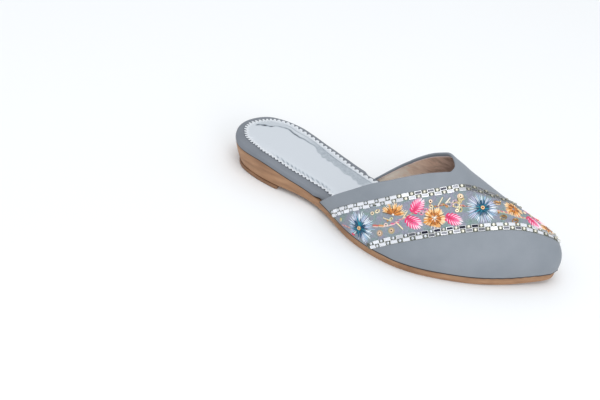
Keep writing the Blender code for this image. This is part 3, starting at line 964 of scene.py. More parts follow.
# %% The band's ground cloth
STRIPS = table(
    "angle upper lower",
    (0, 97.5, 132.5), (15, 113.3, 149), (30, 131.2, 169.7), (45, 149, 190.1), (60, 165.2, 207),
    (68, 171.7, 214.7), (76, 177.9, 221.9), (82, 184, 227.1), (88, 190.6, 231.7), (96, 198.2, 236.3),
    (104, 203, 239.2), (112, 207.6, 241), (120, 210.4, 241.6), (127, 208.2, 241.4), (135, 201.4, 238.6),
    (150, 185.5, 227.5), (165, 170, 213.5), (180, 154, 198),
)
upper_strip_at = flowing_curve(STRIPS.angle, STRIPS.upper)
lower_strip_at = flowing_curve(STRIPS.angle, STRIPS.lower)
BAND_MARGIN = 1.2
CLOTH = 0.3


def woven_ground():
    material, shader, place = new_material("dull_woven_ground", "8C9A9F", 0.78)
    cast = add_node(shader, "TexNoise", Vector=place, Scale=PER_MM / 6, Detail=3, Roughness=0.6)
    blues = ((0.32, "839D96"), (0.46, "8F9DA2"), (0.6, "9897AA"), (0.74, "899E9C"))
    colour = add_node(shader, "ValToRGB", Fac=cast, stops=blues)
    flat = add_node(shader, "UVMap")
    threads = []
    for turn, count in ((0.0, 260.0), (math.pi / 2, 48.0)):
        turned = add_node(shader, "Mapping", Vector=flat, Rotation=(0, 0, turn))
        wave = add_node(shader, "TexWave", Vector=turned, Scale=count, Distortion=0.8)
        threads.append(wave.outputs["Fac"])
    weave = add_node(shader, "Math", operation="MAXIMUM", Value=threads[0], Value_001=threads[1])
    slub = uneven(shader, place, 0.9, 0.6, 1.34)
    shaded = add_node(shader, "VectorMath", operation="MULTIPLY", Vector=colour, Vector_001=slub)
    cloth = add_node(shader, "Bump", Height=weave, Distance=0.1 * MM, Strength=0.8)
    set_up(shader, Base_Color=shaded, Normal=cloth)
    return material


def band_angle(u):
    """The angle at a share of the way over the vamp, clear of the sole at both ends."""
    return BAND_MARGIN + (180.0 - 2 * BAND_MARGIN) * (1 - u)


def ground_place(u, v):
    angle = band_angle(u)
    upper, lower = upper_strip_at(angle), lower_strip_at(angle)
    edge = numpy.minimum(v, 1 - v) * (lower - upper)
    return at_depth(lower + (upper - lower) * v, angle, -CLOTH * ease(edge, 0.0, 1.0) - 0.05)


ground = lay_sheet("band_ground_cloth", 220, 50, ground_place)
thicken(ground, CLOTH)
dress(ground, woven_ground())


# %% [markdown]
# ## Copies by the hundred
# Stitches, beads and mirrors each start as one small shape, modelled once with its length along X, its
# width along Y and its height along Z. `strew` then makes one joined mesh of as many copies as there are
# places, each stretched and turned to its own. Every copy carries its own thread colour, called dye, for
# the material.

# %% Shapes and how they are copied
Shape = namedtuple("Shape", "points faces")


def small_piece(operator, bevel=0.0, **settings):
    """Start a small shape: one primitive, with its size applied and its edges eased."""
    piece = added(operator, **settings)
    bpy.ops.object.transform_apply(location=False, rotation=False, scale=True)
    if bevel:
        finish_with(piece, "BEVEL", width=bevel, segments=1)
    return piece


def shape_of(piece, lift=0.0):
    """Keep a small modelled piece as a shape to copy, lifted to stand on its place, and remove the piece."""
    points = coordinates(piece) + [0, 0, lift]
    faces = sorted(tuple(face.vertices) for face in piece.data.polygons)
    bpy.data.meshes.remove(piece.data)
    return Shape(points, faces)


def places_for(starts, forwards, normals, lengths, widths, heights):
    """Matrices that put shapes at places in the last's millimetres: X forwards, and their tops outwards."""
    forwards = unit(forwards - (forwards * normals).sum(-1, keepdims=True) * normals)
    sides = numpy.cross(normals, forwards)
    sized = [axis * numpy.broadcast_to(size, len(starts))[:, None]
             for axis, size in ((forwards, lengths), (sides, widths), (normals, heights))]
    return numpy.stack([*sized, starts], axis=2)


def strew(name, parts, material):
    """One mesh of many copies; parts is a list of (shape, matrices, dyes). A fifth column bows a copy."""
    points, faces, dyes = [], [], []
    first = 0
    for shape, matrices, dye in parts:
        count, corners = len(matrices), len(shape.points)
        turned = numpy.einsum("cij,pj->cpi", matrices[:, :, :3], shape.points) + matrices[:, None, :, 3]
        if matrices.shape[2] == 5:
            arch = 4 * shape.points[:, 0] * (1 - shape.points[:, 0])
            turned = turned + matrices[:, None, :, 4] * arch[None, :, None]
        points.append(turned.reshape(-1, 3))
        dyes.append(numpy.repeat(numpy.broadcast_to(dye, (count, 3)), corners, axis=0))
        for start in range(first, first + count * corners, corners):
            faces += [[corner + start for corner in face] for face in shape.faces]
        first += count * corners
    mesh = bpy.data.meshes.new(name)
    mesh.from_pydata(to_world(numpy.concatenate(points)), [], faces)
    mesh.update()
    colours = numpy.pad(numpy.concatenate(dyes), ((0, 0), (0, 1)), constant_values=1.0)
    mesh.color_attributes.new("dye", "FLOAT_COLOR", "POINT").data.foreach_set("color", colours.ravel())
    piece = bpy.data.objects.new(name, mesh)
    bpy.context.scene.collection.objects.link(piece)
    dress(piece, material)


def dyes_of(hexes):
    """Linear colours for a string of hex colours."""
    return numpy.array([linear(colour) for colour in hexes.split()])


def shade_between(hexes, share):
    """Colours between two hex colours, one for each share."""
    low, high = dyes_of(hexes)
    return low + (high - low) * numpy.clip(share, 0, 1)[:, None]


def dyed(shader, place, grain_mm, low, high):
    """Each copy's own dye, made uneven by a grain of noise."""
    shade = uneven(shader, place, grain_mm, low, high)
    dye = add_node(shader, "Attribute", attribute_name="dye")
    return add_node(shader, "VectorMath", operation="MULTIPLY", Vector=dye, Vector_001=shade)


# %% [markdown]
# ## Mirror strips
# Each strip is two rows of work on a dark tape. In a row, silvered trays alternate with round silver beads,
# and the second row is set half a step on, so that a tray always faces a bead. A tray is a raised bright
# frame with a sunk glass plate. Where the plates of the real work face the dark end of a room they look
# almost black. A pale studio has no dark end, so the plates, frames and beads have that painted into their
# colours instead, darker or lighter along the strip: a painted reflection.

# %% Sizes and silvering of the strips
TAPE_WIDTH, TAPE_LIFT, TAPE_THICKNESS = 5.4, 0.4, 0.3
SEATED = 0.12
ROW_OFFSET = 1.3
TRAY_LENGTH, TRAY_WIDTH, TRAY_HEIGHT = 4.75, 2.4, 0.8
TRAY_RIM, TRAY_EDGE, TRAY_SUNK = 0.3, 0.1, 0.3
PLATE_GAP, PLATE_THICKNESS, PLATE_DROP = 0.07, 0.1, 0.22
BEAD, BEAD_HEIGHT = 2.2, 1.98
TRAY_TILT, SILVER_SPREAD, PEARL_SPREAD = 0.05, 0.05, 0.06
CLEAR_OF_EDGE = 2.6
PATH_POINTS = 1500
STRETCH_START, STRETCH_FULL = 32.0, 46.0

Run = namedtuple("Run", "name middle pitch start stretch back_row front_row tone")
# Each run gives, at each angle along the strip, the painted reflection of its back plates, its front plates,
# and its frames and beads.
RUNS = [
    Run(
        "upper", upper_strip_at, 7.6, 0.2, 0.14,
        level_curve(
            (0, 38, 42, 46, 66, 73, 77, 120, 150, 180), (1, 1, 0.8, 0.2, 0.3, 0.95, 0.4, 0.4, 0.9, 1)
        ),
        level_curve((0, 38, 44, 63, 71, 76, 120, 150, 180), (1, 1, 0.6, 0.6, 0.8, 0.3, 0.4, 0.9, 1)),
        level_curve((0, 72, 77, 125, 145, 180), (1, 1, 0.4, 0.4, 1, 1)),
    ),
    Run(
        "lower", lower_strip_at, 8.4, 1.0, 0.0,
        level_curve(
            (0, 19, 24, 30, 46, 51, 54, 76, 90, 180), (1, 0.95, 0.3, 0.02, 0.02, 0.1, 1, 1, 0.6, 0.9)
        ),
        level_curve(
            (0, 27, 31, 51, 57, 62, 66, 72, 79, 180), (1, 1, 0.36, 0.4, 1, 0.9, 0.15, 0.4, 0.95, 0.9)
        ),
        level_curve((0, 80, 95, 130, 180), (1, 1, 0.6, 0.8, 1)),
    ),
]


for run in RUNS:
    print(f"the {run.name} strip: a tray every {run.pitch} mm in each row")


# %% Finding the way along a strip
def heading_at(strip_at, angle):
    return unit(skin(strip_at(angle + REACH), angle + REACH) - skin(strip_at(angle - REACH), angle - REACH))


def strip_path(run, phase):
    """Angles, places, normals and directions at the steps of a strip, from the outer side to the inner."""
    angle = numpy.linspace(BAND_MARGIN, 180 - BAND_MARGIN, PATH_POINTS)
    slack = 1 / (1 + run.stretch * ease(angle[1:], STRETCH_START, STRETCH_FULL))
    length = length_along(skin(run.middle(angle), angle), slack)
    steps = numpy.arange(phase - run.pitch, length[-1] - CLEAR_OF_EDGE, run.pitch)
    angle = numpy.interp(steps[steps > CLEAR_OF_EDGE], length, angle)
    point, normal, _, _ = skin_frame(run.middle(angle), angle)
    return angle, point, normal, heading_at(run.middle, angle)


def step_on_skin(y, angle, move):
    """Where a small move, in millimetres, leads on the vamp."""
    _, _, along, around = skin_frame(y, angle)
    a, b, c = (along * along).sum(-1), (along * around).sum(-1), (around * around).sum(-1)
    p, q = (move * along).sum(-1), (move * around).sum(-1)
    spread = a * c - b * b
    return y + (p * c - q * b) / spread, angle + (q * a - p * b) / spread


# %% Silver, tape and the small shapes
def silver_metal(name):
    """Bright silver; each copy brings its own colour, which carries a painted reflection."""
    material, shader, place = new_material(name, "EDEFF2", 0.12, Metallic=0.6)
    sheen = uneven(shader, place, 1.5, 0.06, 0.2)
    dents = add_node(shader, "TexNoise", Vector=place, Scale=PER_MM / 1.8, Detail=1)
    dye = add_node(shader, "Attribute", attribute_name="dye")
    hammered = add_node(shader, "Bump", Height=dents, Distance=0.05 * MM, Strength=0.4)
    set_up(shader, Base_Color=dye, Roughness=sheen, Normal=hammered)
    return material


def dark_tape():
    """Gimp tape, braided of metallised yarn: small bright knots on a dark ground."""
    material, shader, place = new_material("dark_metallic_gimp_tape", "565A50", 0.6, Metallic=0.2)
    weave = add_node(shader, "TexNoise", Vector=place, Scale=PER_MM / 0.9)
    knots = add_node(shader, "TexNoise", Vector=place, Scale=PER_MM / 0.5, Detail=1)
    greys = ((0.3, "383A35"), (0.5, "646860"), (0.7, "999C8E"))
    colour = add_node(shader, "ValToRGB", Fac=weave, stops=greys)
    braid = add_node(shader, "Bump", Height=knots, Distance=0.12 * MM, Strength=0.8)
    set_up(shader, Base_Color=colour, Normal=braid)
    return material


def frame_shape():
    """A pressed frame: a block with eased edges, whose top is inset to a rim and sunk."""
    block = small_piece(
        bpy.ops.mesh.primitive_cube_add, TRAY_EDGE, size=1, scale=(TRAY_LENGTH, TRAY_WIDTH, TRAY_HEIGHT)
    )
    for face in block.data.polygons:
        face.select = face.normal.z > 0.9
    bpy.ops.object.mode_set(mode="EDIT")
    bpy.ops.mesh.select_mode(type="FACE")
    bpy.ops.mesh.inset(thickness=TRAY_RIM - TRAY_EDGE, depth=0.0)
    bpy.ops.mesh.inset(thickness=0.05, depth=-TRAY_SUNK)
    bpy.ops.object.mode_set(mode="OBJECT")
    return shape_of(block, TRAY_HEIGHT / 2)


FRAME = frame_shape()
well = [side - 2 * (TRAY_RIM + PLATE_GAP) for side in (TRAY_LENGTH, TRAY_WIDTH)]
plate = small_piece(bpy.ops.mesh.primitive_cube_add, size=1, scale=(*well, PLATE_THICKNESS))
PLATE = shape_of(plate, TRAY_HEIGHT - PLATE_DROP)
ball = small_piece(
    bpy.ops.mesh.primitive_uv_sphere_add, segments=10, ring_count=7, radius=0.5, scale=(1, 1, 0.8)
)
ROUND_BEAD = shape_of(ball, 0.4)
bright_silver, plate_silver = silver_metal("bright_silver"), silver_metal("silvered_glass")
tape_material = dark_tape()
print(f"a tray has {len(FRAME.faces)} faces, a plate {len(PLATE.faces)} and a bead {len(ROUND_BEAD.faces)}")


# %% Laying the strips
def lay_strip(run):
    """One strip: its tape, then each row's trays, plates and beads."""

    def tape_place(u, v):
        angle = band_angle(u)
        y = run.middle(angle)
        _, normal, _, _ = skin_frame(y, angle)
        side = numpy.cross(heading_at(run.middle, angle), normal)
        y, angle = step_on_skin(y, angle, side * (TAPE_WIDTH * (0.5 - v))[..., None])
        return at_depth(y, angle, -TAPE_LIFT * (1 - (2 * v - 1) ** 6) - 0.02)

    tape = lay_sheet(f"{run.name}_tape", 260, 8, tape_place)
    thicken(tape, TAPE_THICKNESS)
    dress(tape, tape_material)

    def row_path(phase, offset):
        angle, point, normal, ahead = strip_path(run, phase)
        base = point + numpy.cross(normal, ahead) * offset + normal * (TAPE_LIFT - SEATED)
        return angle, base, normal, ahead

    frames, plates = [], []
    for offset, plate_reflection_at, phase in (
        (ROW_OFFSET, run.back_row, run.start),
        (-ROW_OFFSET, run.front_row, run.start + run.pitch / 2),
    ):
        angle, base, normal, ahead = row_path(phase, offset)
        tilted = unit(normal + dice.normal(0, TRAY_TILT, (len(base), 3)))
        trays = places_for(base, ahead, tilted, 1, 1, 1)
        # Frames and plates are painted darker where the real work reflects the dark end of a room: painted
        # reflection.
        frames.append((FRAME, trays, shade_between("4A4D42 F6F7FA", run.tone(angle))))
        silver = numpy.clip(plate_reflection_at(angle) + dice.normal(0, SILVER_SPREAD, len(angle)), 0, 1) ** 1.7
        plates.append((PLATE, trays, shade_between("14162C F2F4FA", silver)))
        angle, base, normal, ahead = row_path(phase + run.pitch / 2, offset)
        # The beads share the frames' painted reflection, and turn from grey to cream along the strip.
        bright = 0.15 + 0.85 * run.tone(angle)[:, None]
        pearl = shade_between("CDD1D7 E6E2D2", ease(angle, 30.0, 42.0)) * bright
        pearl = pearl * dice.normal(1.0, PEARL_SPREAD, (len(angle), 1))
        frames.append((ROUND_BEAD, places_for(base, ahead, normal, BEAD, BEAD, BEAD_HEIGHT), pearl))
    strew(f"{run.name}_silver_frames_and_beads", frames, bright_silver)
    strew(f"{run.name}_glass_plates", plates, plate_silver)


for run in RUNS:
    lay_strip(run)


# %% [markdown]
# ## Stitching
# The flowers are worked in straight satin stitches. A stitch runs between two points given in millimetres
# ahead (towards the toe) and across (towards the inner side) of a motif's own middle. `reach` walks there
# over the vamp in short steps, so that every motif bends with the shoe. The thread is rayon, a glossy
# filament.

# %% Stitches and the walk over the vamp
EDGE_ANGLE = 1.6
REACH_STEPS = 5
GROUND_LIFT = 0.36
FULLER = 1.12
DYE_SPREAD = 0.07


def lying(points):
    """Points of a shape modelled upright, turned to lie along X."""
    return points[:, [2, 1, 0]] * [1, 1, -1]


ball = small_piece(bpy.ops.mesh.primitive_uv_sphere_add, segments=6, ring_count=6, radius=0.5)
STITCH = shape_of(ball)
filament = lying(STITCH.points)
filament[:, 1:] *= numpy.where(numpy.abs(filament[:, :1]) < 0.45, FULLER, 1.0)
STITCH = Shape(filament + [0.5, 0, 0.2], STITCH.faces)


def reach(y, angle, ahead, across):
    """The addresses so many millimetres ahead of and across from an address."""
    for _ in range(REACH_STEPS):
        _, _, along, around = skin_frame(y, angle)
        forward = unit(along)
        sideways = unit(around - (around * forward).sum(-1, keepdims=True) * forward)
        move = (forward * ahead[:, None] + sideways * across[:, None]) / REACH_STEPS
        y, angle = step_on_skin(y, angle, move)
        angle = numpy.clip(angle, 0.1, 179.9)
    return y, angle


def sew(bag, place, starts, ends, width, height, lift, dyes):
    """Put a row of stitches in a bag; starts and ends are pairs, ahead and across of the place."""
    count = len(starts[0])
    columns = [*place, *starts, *ends, width, height, lift]
    sized = numpy.stack([numpy.broadcast_to(column, count) for column in columns], axis=1)
    bag.append(numpy.concatenate([sized, numpy.broadcast_to(dyes, (count, 3))], axis=1))


def sewn(bag):
    """Walk to both ends of every stitch in a bag, and bow each one so that it follows the vamp."""
    rows = numpy.concatenate(bag)
    y, angle, ahead, across, end_ahead, end_across, width, height, lift = rows[:, :9].T
    first_y, first_angle = reach(y, angle, ahead, across)
    last_y, last_angle = reach(y, angle, end_ahead, end_across)
    first, first_normal, _, _ = skin_frame(first_y, first_angle)
    last, last_normal, _, _ = skin_frame(last_y, last_angle)
    normal = unit(first_normal + last_normal)
    middle = skin((first_y + last_y) / 2, (first_angle + last_angle) / 2)
    bow = normal * ((middle - (first + last) / 2) * normal).sum(-1, keepdims=True)
    base = first + normal * (lift + GROUND_LIFT)[:, None]
    length = numpy.linalg.norm(last - first, axis=1)
    matrices = places_for(base, last - first, normal, length, width, height)
    matrices = numpy.concatenate([matrices, bow[:, :, None]], axis=2)
    low, high = numpy.minimum(first_angle, last_angle), numpy.maximum(first_angle, last_angle)
    kept = (low > EDGE_ANGLE) & (high < 180 - EDGE_ANGLE)
    return [(STITCH, matrices[kept], rows[kept, 9:])]


def away(heading, ahead, across=0.0):
    """Millimetres ahead and across for a point along and beside a heading, in degrees from the toe's."""
    cosine, sine = numpy.cos(numpy.radians(heading)), numpy.sin(numpy.radians(heading))
    return ahead * cosine - across * sine, ahead * sine + across * cosine


def picked(count, hexes):
    """A random thread colour for each stitch, each a little lighter or darker than its name."""
    colours = dyes_of(hexes)
    return colours[dice.integers(0, len(colours), count)] * dice.normal(1.0, DYE_SPREAD, (count, 1))


def rayon_thread():
    """Rayon filament, loosely twisted: glossy along a stitch, with a fine ply that breaks the shine up."""
    material, shader, place = new_material("glossy_rayon_thread", "C9D6E8", 0.42)
    twist = add_node(shader, "TexNoise", Vector=place, Scale=PER_MM / 0.35, Detail=1)
    ply = add_node(shader, "Bump", Height=twist, Distance=0.05 * MM, Strength=0.5)
    set_up(shader, Base_Color=dyed(shader, place, 0.7, 0.82, 1.12), Normal=ply)
    return material


thread = rayon_thread()
print(f"a stitch has {len(STITCH.faces)} faces")


# %% [markdown]
# Blue flowers are rings of rays. A mid-blue layer lies under long pale rays of uneven reach; thin dark rays
# run between them, and a raised ring of short deep teal stitches closes round the middle bead. The flower
# at the outer featherline is cut by it, so the stitches that would cross the edge are left out.

# %% Blue flowers
BLUE_PLACES = [(125.6, 10.3), (193.0, 68.6), (208.5, 148.0), (177.0, 175.3)]
BLUE_RAYS = (
    (44, (2.6, 0.3), (10.2, 0.4), 0.95, 0.3, 0.0, "7C9AC2 8CA6CA 7391BC"),
    (50, (4.3, 0.9), (10.6, 0.7), 0.6, 0.55, 0.18, "D9E6F2 EEF5FB BDD3E6 CCD0E8 A6C4DC"),
    (28, (2.0, 0.2), (6.8, 1.6), 0.42, 0.5, 0.36, "185C88 104E78 2E7099"),
    (26, (1.0, 0.1), (4.9, 1.3), 0.6, 0.6, 0.46, "016884 00546C 1692A8 084C6C"),
)


def ring_of_rays(bag, place, count, inner, outer, width, height, lift, hexes):
    """Rays all round a middle; inner and outer are (mean, spread) radii."""
    heading = (numpy.arange(count) + dice.uniform(-0.3, 0.3, count)) * 360 / count
    near, far = dice.normal(*inner, count), dice.normal(*outer, count)
    sew(bag, place, away(heading, near), away(heading, far), width, height, lift, picked(count, hexes))


blue_stitches = []
for place in BLUE_PLACES:
    for rays in BLUE_RAYS:
        ring_of_rays(blue_stitches, place, *rays)
strew("blue_flowers", sewn(blue_stitches), thread)


# %% [markdown]
# Orange flowers have rounded petals: five all round, or five in a fan where only half a flower shows. Deep
# orange stitches fan out from the middle and pale ones carry on to the rim, with a few cream tips and a
# brown line between the petals.

# %% Orange flowers
PETALS, PETAL_STITCHES = 5, 12
ORANGE_FLOWERS = (
    ((168.6, 41.2), 7.9, 18.0, 72.0), ((143.2, 28.8), 9.0, 52.0, 33.0), ((210.2, 94.4), 7.4, 40.0, 72.0),
    ((234.5, 113.0), 6.4, 10.0, 72.0), ((193.5, 163.5), 7.9, -20.0, 72.0),
)
CREAM_RAYS = (7, (0.4, 0.1), (2.3, 0.3), 0.5, 0.6, 0.55, "F6EBD6 FFFAF0")


def petal_flower(bag, place, radius, first_heading, span):
    """Petals side by side from a first heading, each a fan of stitches under a rounded outline."""
    count = PETAL_STITCHES
    share = (numpy.arange(count) + 0.5) / count * 2 - 1
    for petal in range(PETALS):
        middle = first_heading + span * petal
        heading = middle + share * span * 0.5 + dice.normal(0, 0.8, count)
        rim = radius * (0.66 + 0.34 * numpy.sqrt(1 - share ** 2)) + dice.normal(0, 0.35, count)
        mid = rim * dice.uniform(0.45, 0.62, count)
        tips, far = heading[1::3] + 1.0, rim[1::3]
        edge = numpy.array([middle + span * 0.5])
        for towards, near, out, width, height, lift, hexes in (
            (heading, mid - 1.4, rim, 0.7 * span / 60 + 0.25, 0.5, 0.1, "E8AE66 F6D7A6 DB9440 EFC48E"),
            (heading, 0.9, mid + 0.5, 0.55, 0.55, 0.26, "D98432 BE6C1E E69C4C 8E5218"),
            (tips, far - 2.2, far + 0.2, 0.42, 0.5, 0.24, "FBF0DC F6E2C0"),
            (edge, 1.2, radius * 0.86, 0.5, 0.6, 0.34, "7E5020 6E4418"),
        ):
            colours = picked(len(towards), hexes)
            sew(bag, place, away(towards, near), away(towards, out), width, height, lift, colours)


orange_stitches = []
for flower in ORANGE_FLOWERS:
    petal_flower(orange_stitches, *flower)
for place, *_ in (ORANGE_FLOWERS[0], ORANGE_FLOWERS[-1]):
    ring_of_rays(orange_stitches, place, *CREAM_RAYS)
strew("orange_flowers", sewn(orange_stitches), thread)


# %% [markdown]
# Pink leaves are worked in two halves that meet at a midrib. Each half is a row of slanting fingers, deep
# pink at the foot and paling to the tip, with a pale line over the seam between every two.

# %% Pink leaves
LEAF_FINGERS = 7
LEAVES = (
    ((154.0, 36.8), 90.0, 11.6, 4.6), ((151.8, 32.0), 0.0, 11.8, 4.9), ((174.5, 46.0), 9.0, 12.0, 4.5),
    ((219.8, 100.5), -12.0, 12.8, 5.2), ((222.0, 119.5), 20.0, 10.5, 4.4), ((220.0, 121.0), 128.0, 8.6, 3.9),
    ((201.0, 160.0), 30.0, 8.5, 4.0), ((196.0, 154.5), 185.0, 8.0, 3.9), ((187.5, 172.0), 20.0, 9.5, 4.2),
)


def leaf(bag, place, heading, length, half_width):
    """A leaf from its foot along a heading; its fingers leave the midrib at a slant."""
    step = numpy.arange(LEAF_FINGERS) / (LEAF_FINGERS - 1)
    foot = length * (0.02 + 0.62 * step)
    slant = numpy.radians(68 - 52 * step)
    reach_out = half_width * (0.75 + 0.5 * numpy.sin(math.pi * step ** 0.8) + 0.12 * step)
    tip = foot + reach_out * numpy.cos(slant)
    for side in (-1, 1):
        beside = side * reach_out * numpy.sin(slant)
        dyes = shade_between("E4246A F36FA2", step * 0.9) * dice.normal(1, 0.06, (LEAF_FINGERS, 1))
        for shift in (-0.35, 0.25):
            ends = away(heading, foot + shift, side * 0.1), away(heading, tip + shift, beside)
            sew(bag, place, *ends, 0.85, 0.6, 0.1, dyes)
        dyes = shade_between("F9BCD6 FFF4FA", step) * dice.normal(1, 0.04, (LEAF_FINGERS, 1))
        line_foot = foot + 0.7 + (tip - foot) * 0.3
        ends = away(heading, line_foot, beside * 0.3), away(heading, tip + 0.85, beside * 0.97)
        sew(bag, place, *ends, 0.62, 0.55, 0.34, dyes)
    midrib = away(heading, numpy.array([0.0])), away(heading, numpy.array([length * 0.5]))
    sew(bag, place, *midrib, 0.6, 0.5, 0.42, dyes_of("E82A66"))


pink_stitches = []
for row in LEAVES:
    leaf(pink_stitches, *row)
strew("pink_leaves", sewn(pink_stitches), thread)


# %% [markdown]
# The stem is a rope of short slanting stitches in rose, orange and cream, two strands wide. It wanders from
# motif to motif. Sprigs branch off it: small loops of gold and lilac thread with a dark heart, and little
# satin bars. In the table of sprigs, a bar has no width.

# %% Where stems and sprigs lie
ROPE_STEP, ROPE_STITCH = 0.8, 1.9
LOOP_STITCHES = 9
ROSE, BRONZE = "D7647E E9DCC3 D98757 C97A93", "A8552F D9A08B 7A4630"
GOLD, LILAC = "E4CF9C C7AC6B F1E6C4", "D9C6CF E9DCC3 B79AAE"
SPRIGS = (
    (133.6, 16.4, 30, 4.4, 0, "EBD9C4 C9647A D9795A"), (137.2, 18.5, 27, 4.2, 0, "EBD9C4 D98757 E2AE78"),
    (144.2, 23.6, 32, 3.0, 0, "F0C0CE D9557F D98AA4"), (146.4, 25.6, 34, 3.2, 0, "D9A0B4 C9476F F0B8C8"),
    (176.0, 62.8, -36, 3.4, 0, "8A6A4A D8CE92 C9B98A"), (178.2, 62.2, 70, 3.4, 0, "C9B98A D8CE92 8A6A4A"),
    (168.4, 51.0, 60, 2.4, 0, "B98A72 D9B9A4 8E6A5C"), (171.2, 52.4, 10, 2.2, 0, "D9A35C A8643A C98F5A"),
    (109.3, 6.5, -90, 3.2, 0, "D9CF8E B7B27A E4D9A8"), (120.0, 2.6, 15, 3.0, 0, "E6355F D91F4E F0557C"),
    (141.7, 21.6, 30, 2.2, 1.8, "F1E6D6 E9C9C4"), (132.4, 25.0, 60, 3.0, 1.8, GOLD),
    (143.2, 26.3, 90, 2.2, 1.4, "E9E3B8 C9D0A0"), (161.0, 42.5, 40, 3.2, 2.4, "D9648A C58AB0 E9A9BC"),
    (159.4, 39.6, 0, 2.6, 2.0, "E78CA4 D9B9C4"), (163.2, 46.6, 20, 2.4, 1.8, GOLD),
    (173.0, 54.8, 20, 4.2, 3.0, LILAC), (177.3, 57.4, 30, 4.2, 3.2, GOLD),
    (175.4, 58.6, 80, 3.2, 2.2, LILAC), (178.2, 61.4, 100, 2.6, 2.0, GOLD),
    (181.0, 56.3, -60, 3.4, 2.0, "D8CE92 BDB87C EBE0B0"),
    (199.2, 85.8, 40, 5.0, 3.0, "B7854A 8A6A3A D9B98A"), (197.9, 84.6, 40, 3.4, 0, "8A5A2E C98A4A E2B77C"),
    (207.6, 73.4, 50, 4.8, 3.0, "8A6A3A A88A50 D2BC88"), (206.6, 72.2, 50, 3.2, 0, "6E4A2A 9C7A48 7A5632"),
    (215.2, 77.8, 60, 4.8, 3.0, "A8703A 8A6A3A C9B07E"), (214.4, 76.4, 60, 3.2, 0, "7A5632 B98F4E 8A6A3A"),
    (229.0, 124.0, 30, 4.2, 2.8, GOLD), (226.5, 135.0, 70, 4.2, 2.6, LILAC),
    (180.0, 162.5, 20, 4.2, 2.8, GOLD),
)
STRANDS = [
    (ROSE, 0.55, 0.0, (111.0, 2.6), (114.5, 4.2), (118.0, 5.4)),
    ("D9647E F0B8C4", 0.55, 0.0, (148.0, 28.2), (151.0, 31.4)),
    ("F1E6D6 D9A0B4 EBD9C4", 0.6, 0.7, (140.5, 20.6), (144.2, 23.4), (147.6, 27.4)),
    ("EBE0B8 F1E6D6 C9B98A", 0.6, 0.0, (138.4, 24.2), (140.4, 24.4), (143.4, 25.2)),
    ("C9B98A 8A6A4A E9C9C4", 0.5, 0.0, (150.0, 30.0), (152.6, 34.6), (156.8, 38.6)),
    ("8A6A4A D9A08B", 0.5, 0.0, (161.6, 48.2), (163.0, 46.0)),
    ("C9B98A B7A27A EBE0B0", 0.5, 0.4, (176.0, 59.6), (178.4, 60.6), (181.0, 56.3)),
    (BRONZE, 0.55, 0.0, (166.5, 48.8), (169.5, 51.5), (172.0, 53.6)),
    (ROSE, 0.55, -0.3, (179.6, 58.8), (182.0, 60.5)),
    (BRONZE, 0.55, 0.3, (179.6, 58.8), (182.0, 60.5), (186.3, 63.8)),
]
STEMS = (
    ((202.4, 76.3), (205.5, 79.0), (210.0, 83.0), (215.5, 87.0), (219.5, 93.0)),
    ((222.5, 121.5), (220.5, 128.0), (216.0, 137.0)),
    ((202.0, 153.5), (199.0, 157.0), (196.5, 159.5)),
    ((189.5, 167.5), (185.5, 171.5), (181.0, 174.0)),
)
for side, hexes in ((-0.45, ROSE), (0.45, "E4CF9C D9A08B B7CDB0")):
    STRANDS += [(hexes, 0.5, side, *stem) for stem in STEMS]
print(len(SPRIGS), "sprigs and", len(STRANDS), "strands")


# %% Stems and sprigs
def sprig(bag, y, angle, heading, length, width, hexes):
    """A satin bar of three threads, or where it has a width, an oval loop of thread with a dark heart."""
    if not width:
        beside = numpy.array([-0.5, 0.0, 0.5])
        ends = away(heading, 0.0, beside), away(heading, length, beside)
        sew(bag, (y, angle), *ends, 0.65, 0.6, 0.25, dyes_of(hexes))
        return
    turn = numpy.radians(numpy.arange(LOOP_STITCHES + 1) * 360 / LOOP_STITCHES)
    oval = numpy.array(away(heading, numpy.cos(turn) * length / 2, numpy.sin(turn) * width / 2))
    colours = picked(LOOP_STITCHES, hexes)
    sew(bag, (y, angle), oval[:, :-1] * 1.08, oval[:, 1:] * 1.02, 0.95, 0.6, 0.15, colours)
    heart = numpy.array([0.6])
    sew(bag, (y, angle), away(heading, -heart), away(heading, heart), 0.8, 0.4, 0.12, dyes_of("4A3548"))


def rope(hexes, wide, offset, *addresses):
    """A twisted strand through addresses on the vamp, moved sideways by an offset."""
    stops = numpy.arange(len(addresses))
    knots = numpy.linspace(0, len(addresses) - 1, 60)
    y, angle = (flowing_curve(stops, column)(knots) for column in zip(*addresses))
    points = skin(y, angle)
    length = length_along(points)
    steps = numpy.arange(0, length[-1], ROPE_STEP)
    y, angle, *centre = (numpy.interp(steps, length, column) for column in (y, angle, *points.T))
    ahead = unit(numpy.gradient(numpy.stack(centre, axis=1), axis=0))
    point, normal, _, _ = skin_frame(y, angle)
    beside = numpy.cross(ahead, normal)
    run = ahead + beside * numpy.where(numpy.arange(len(steps)) % 2 == 0, 0.45, 0.3)[:, None]
    base = point + normal * (GROUND_LIFT + 0.15) - run * 0.8 + beside * offset
    placed = places_for(base, run, normal, ROPE_STITCH, wide, 0.5)
    colours = dyes_of(hexes)
    return STITCH, placed, colours[numpy.arange(len(steps)) % len(colours)]


satin = []
for row in SPRIGS:
    sprig(satin, *row)
strew("stems_and_sprigs", sewn(satin) + [rope(*strand) for strand in STRANDS], thread)


# %% [markdown]
# ## Beads and sequins
# Gold sequins are held down by a cream ring bead, and the same ring bead closes each blue flower.
# Cream-gold bugle beads, short glass tubes, stand off from the stems.

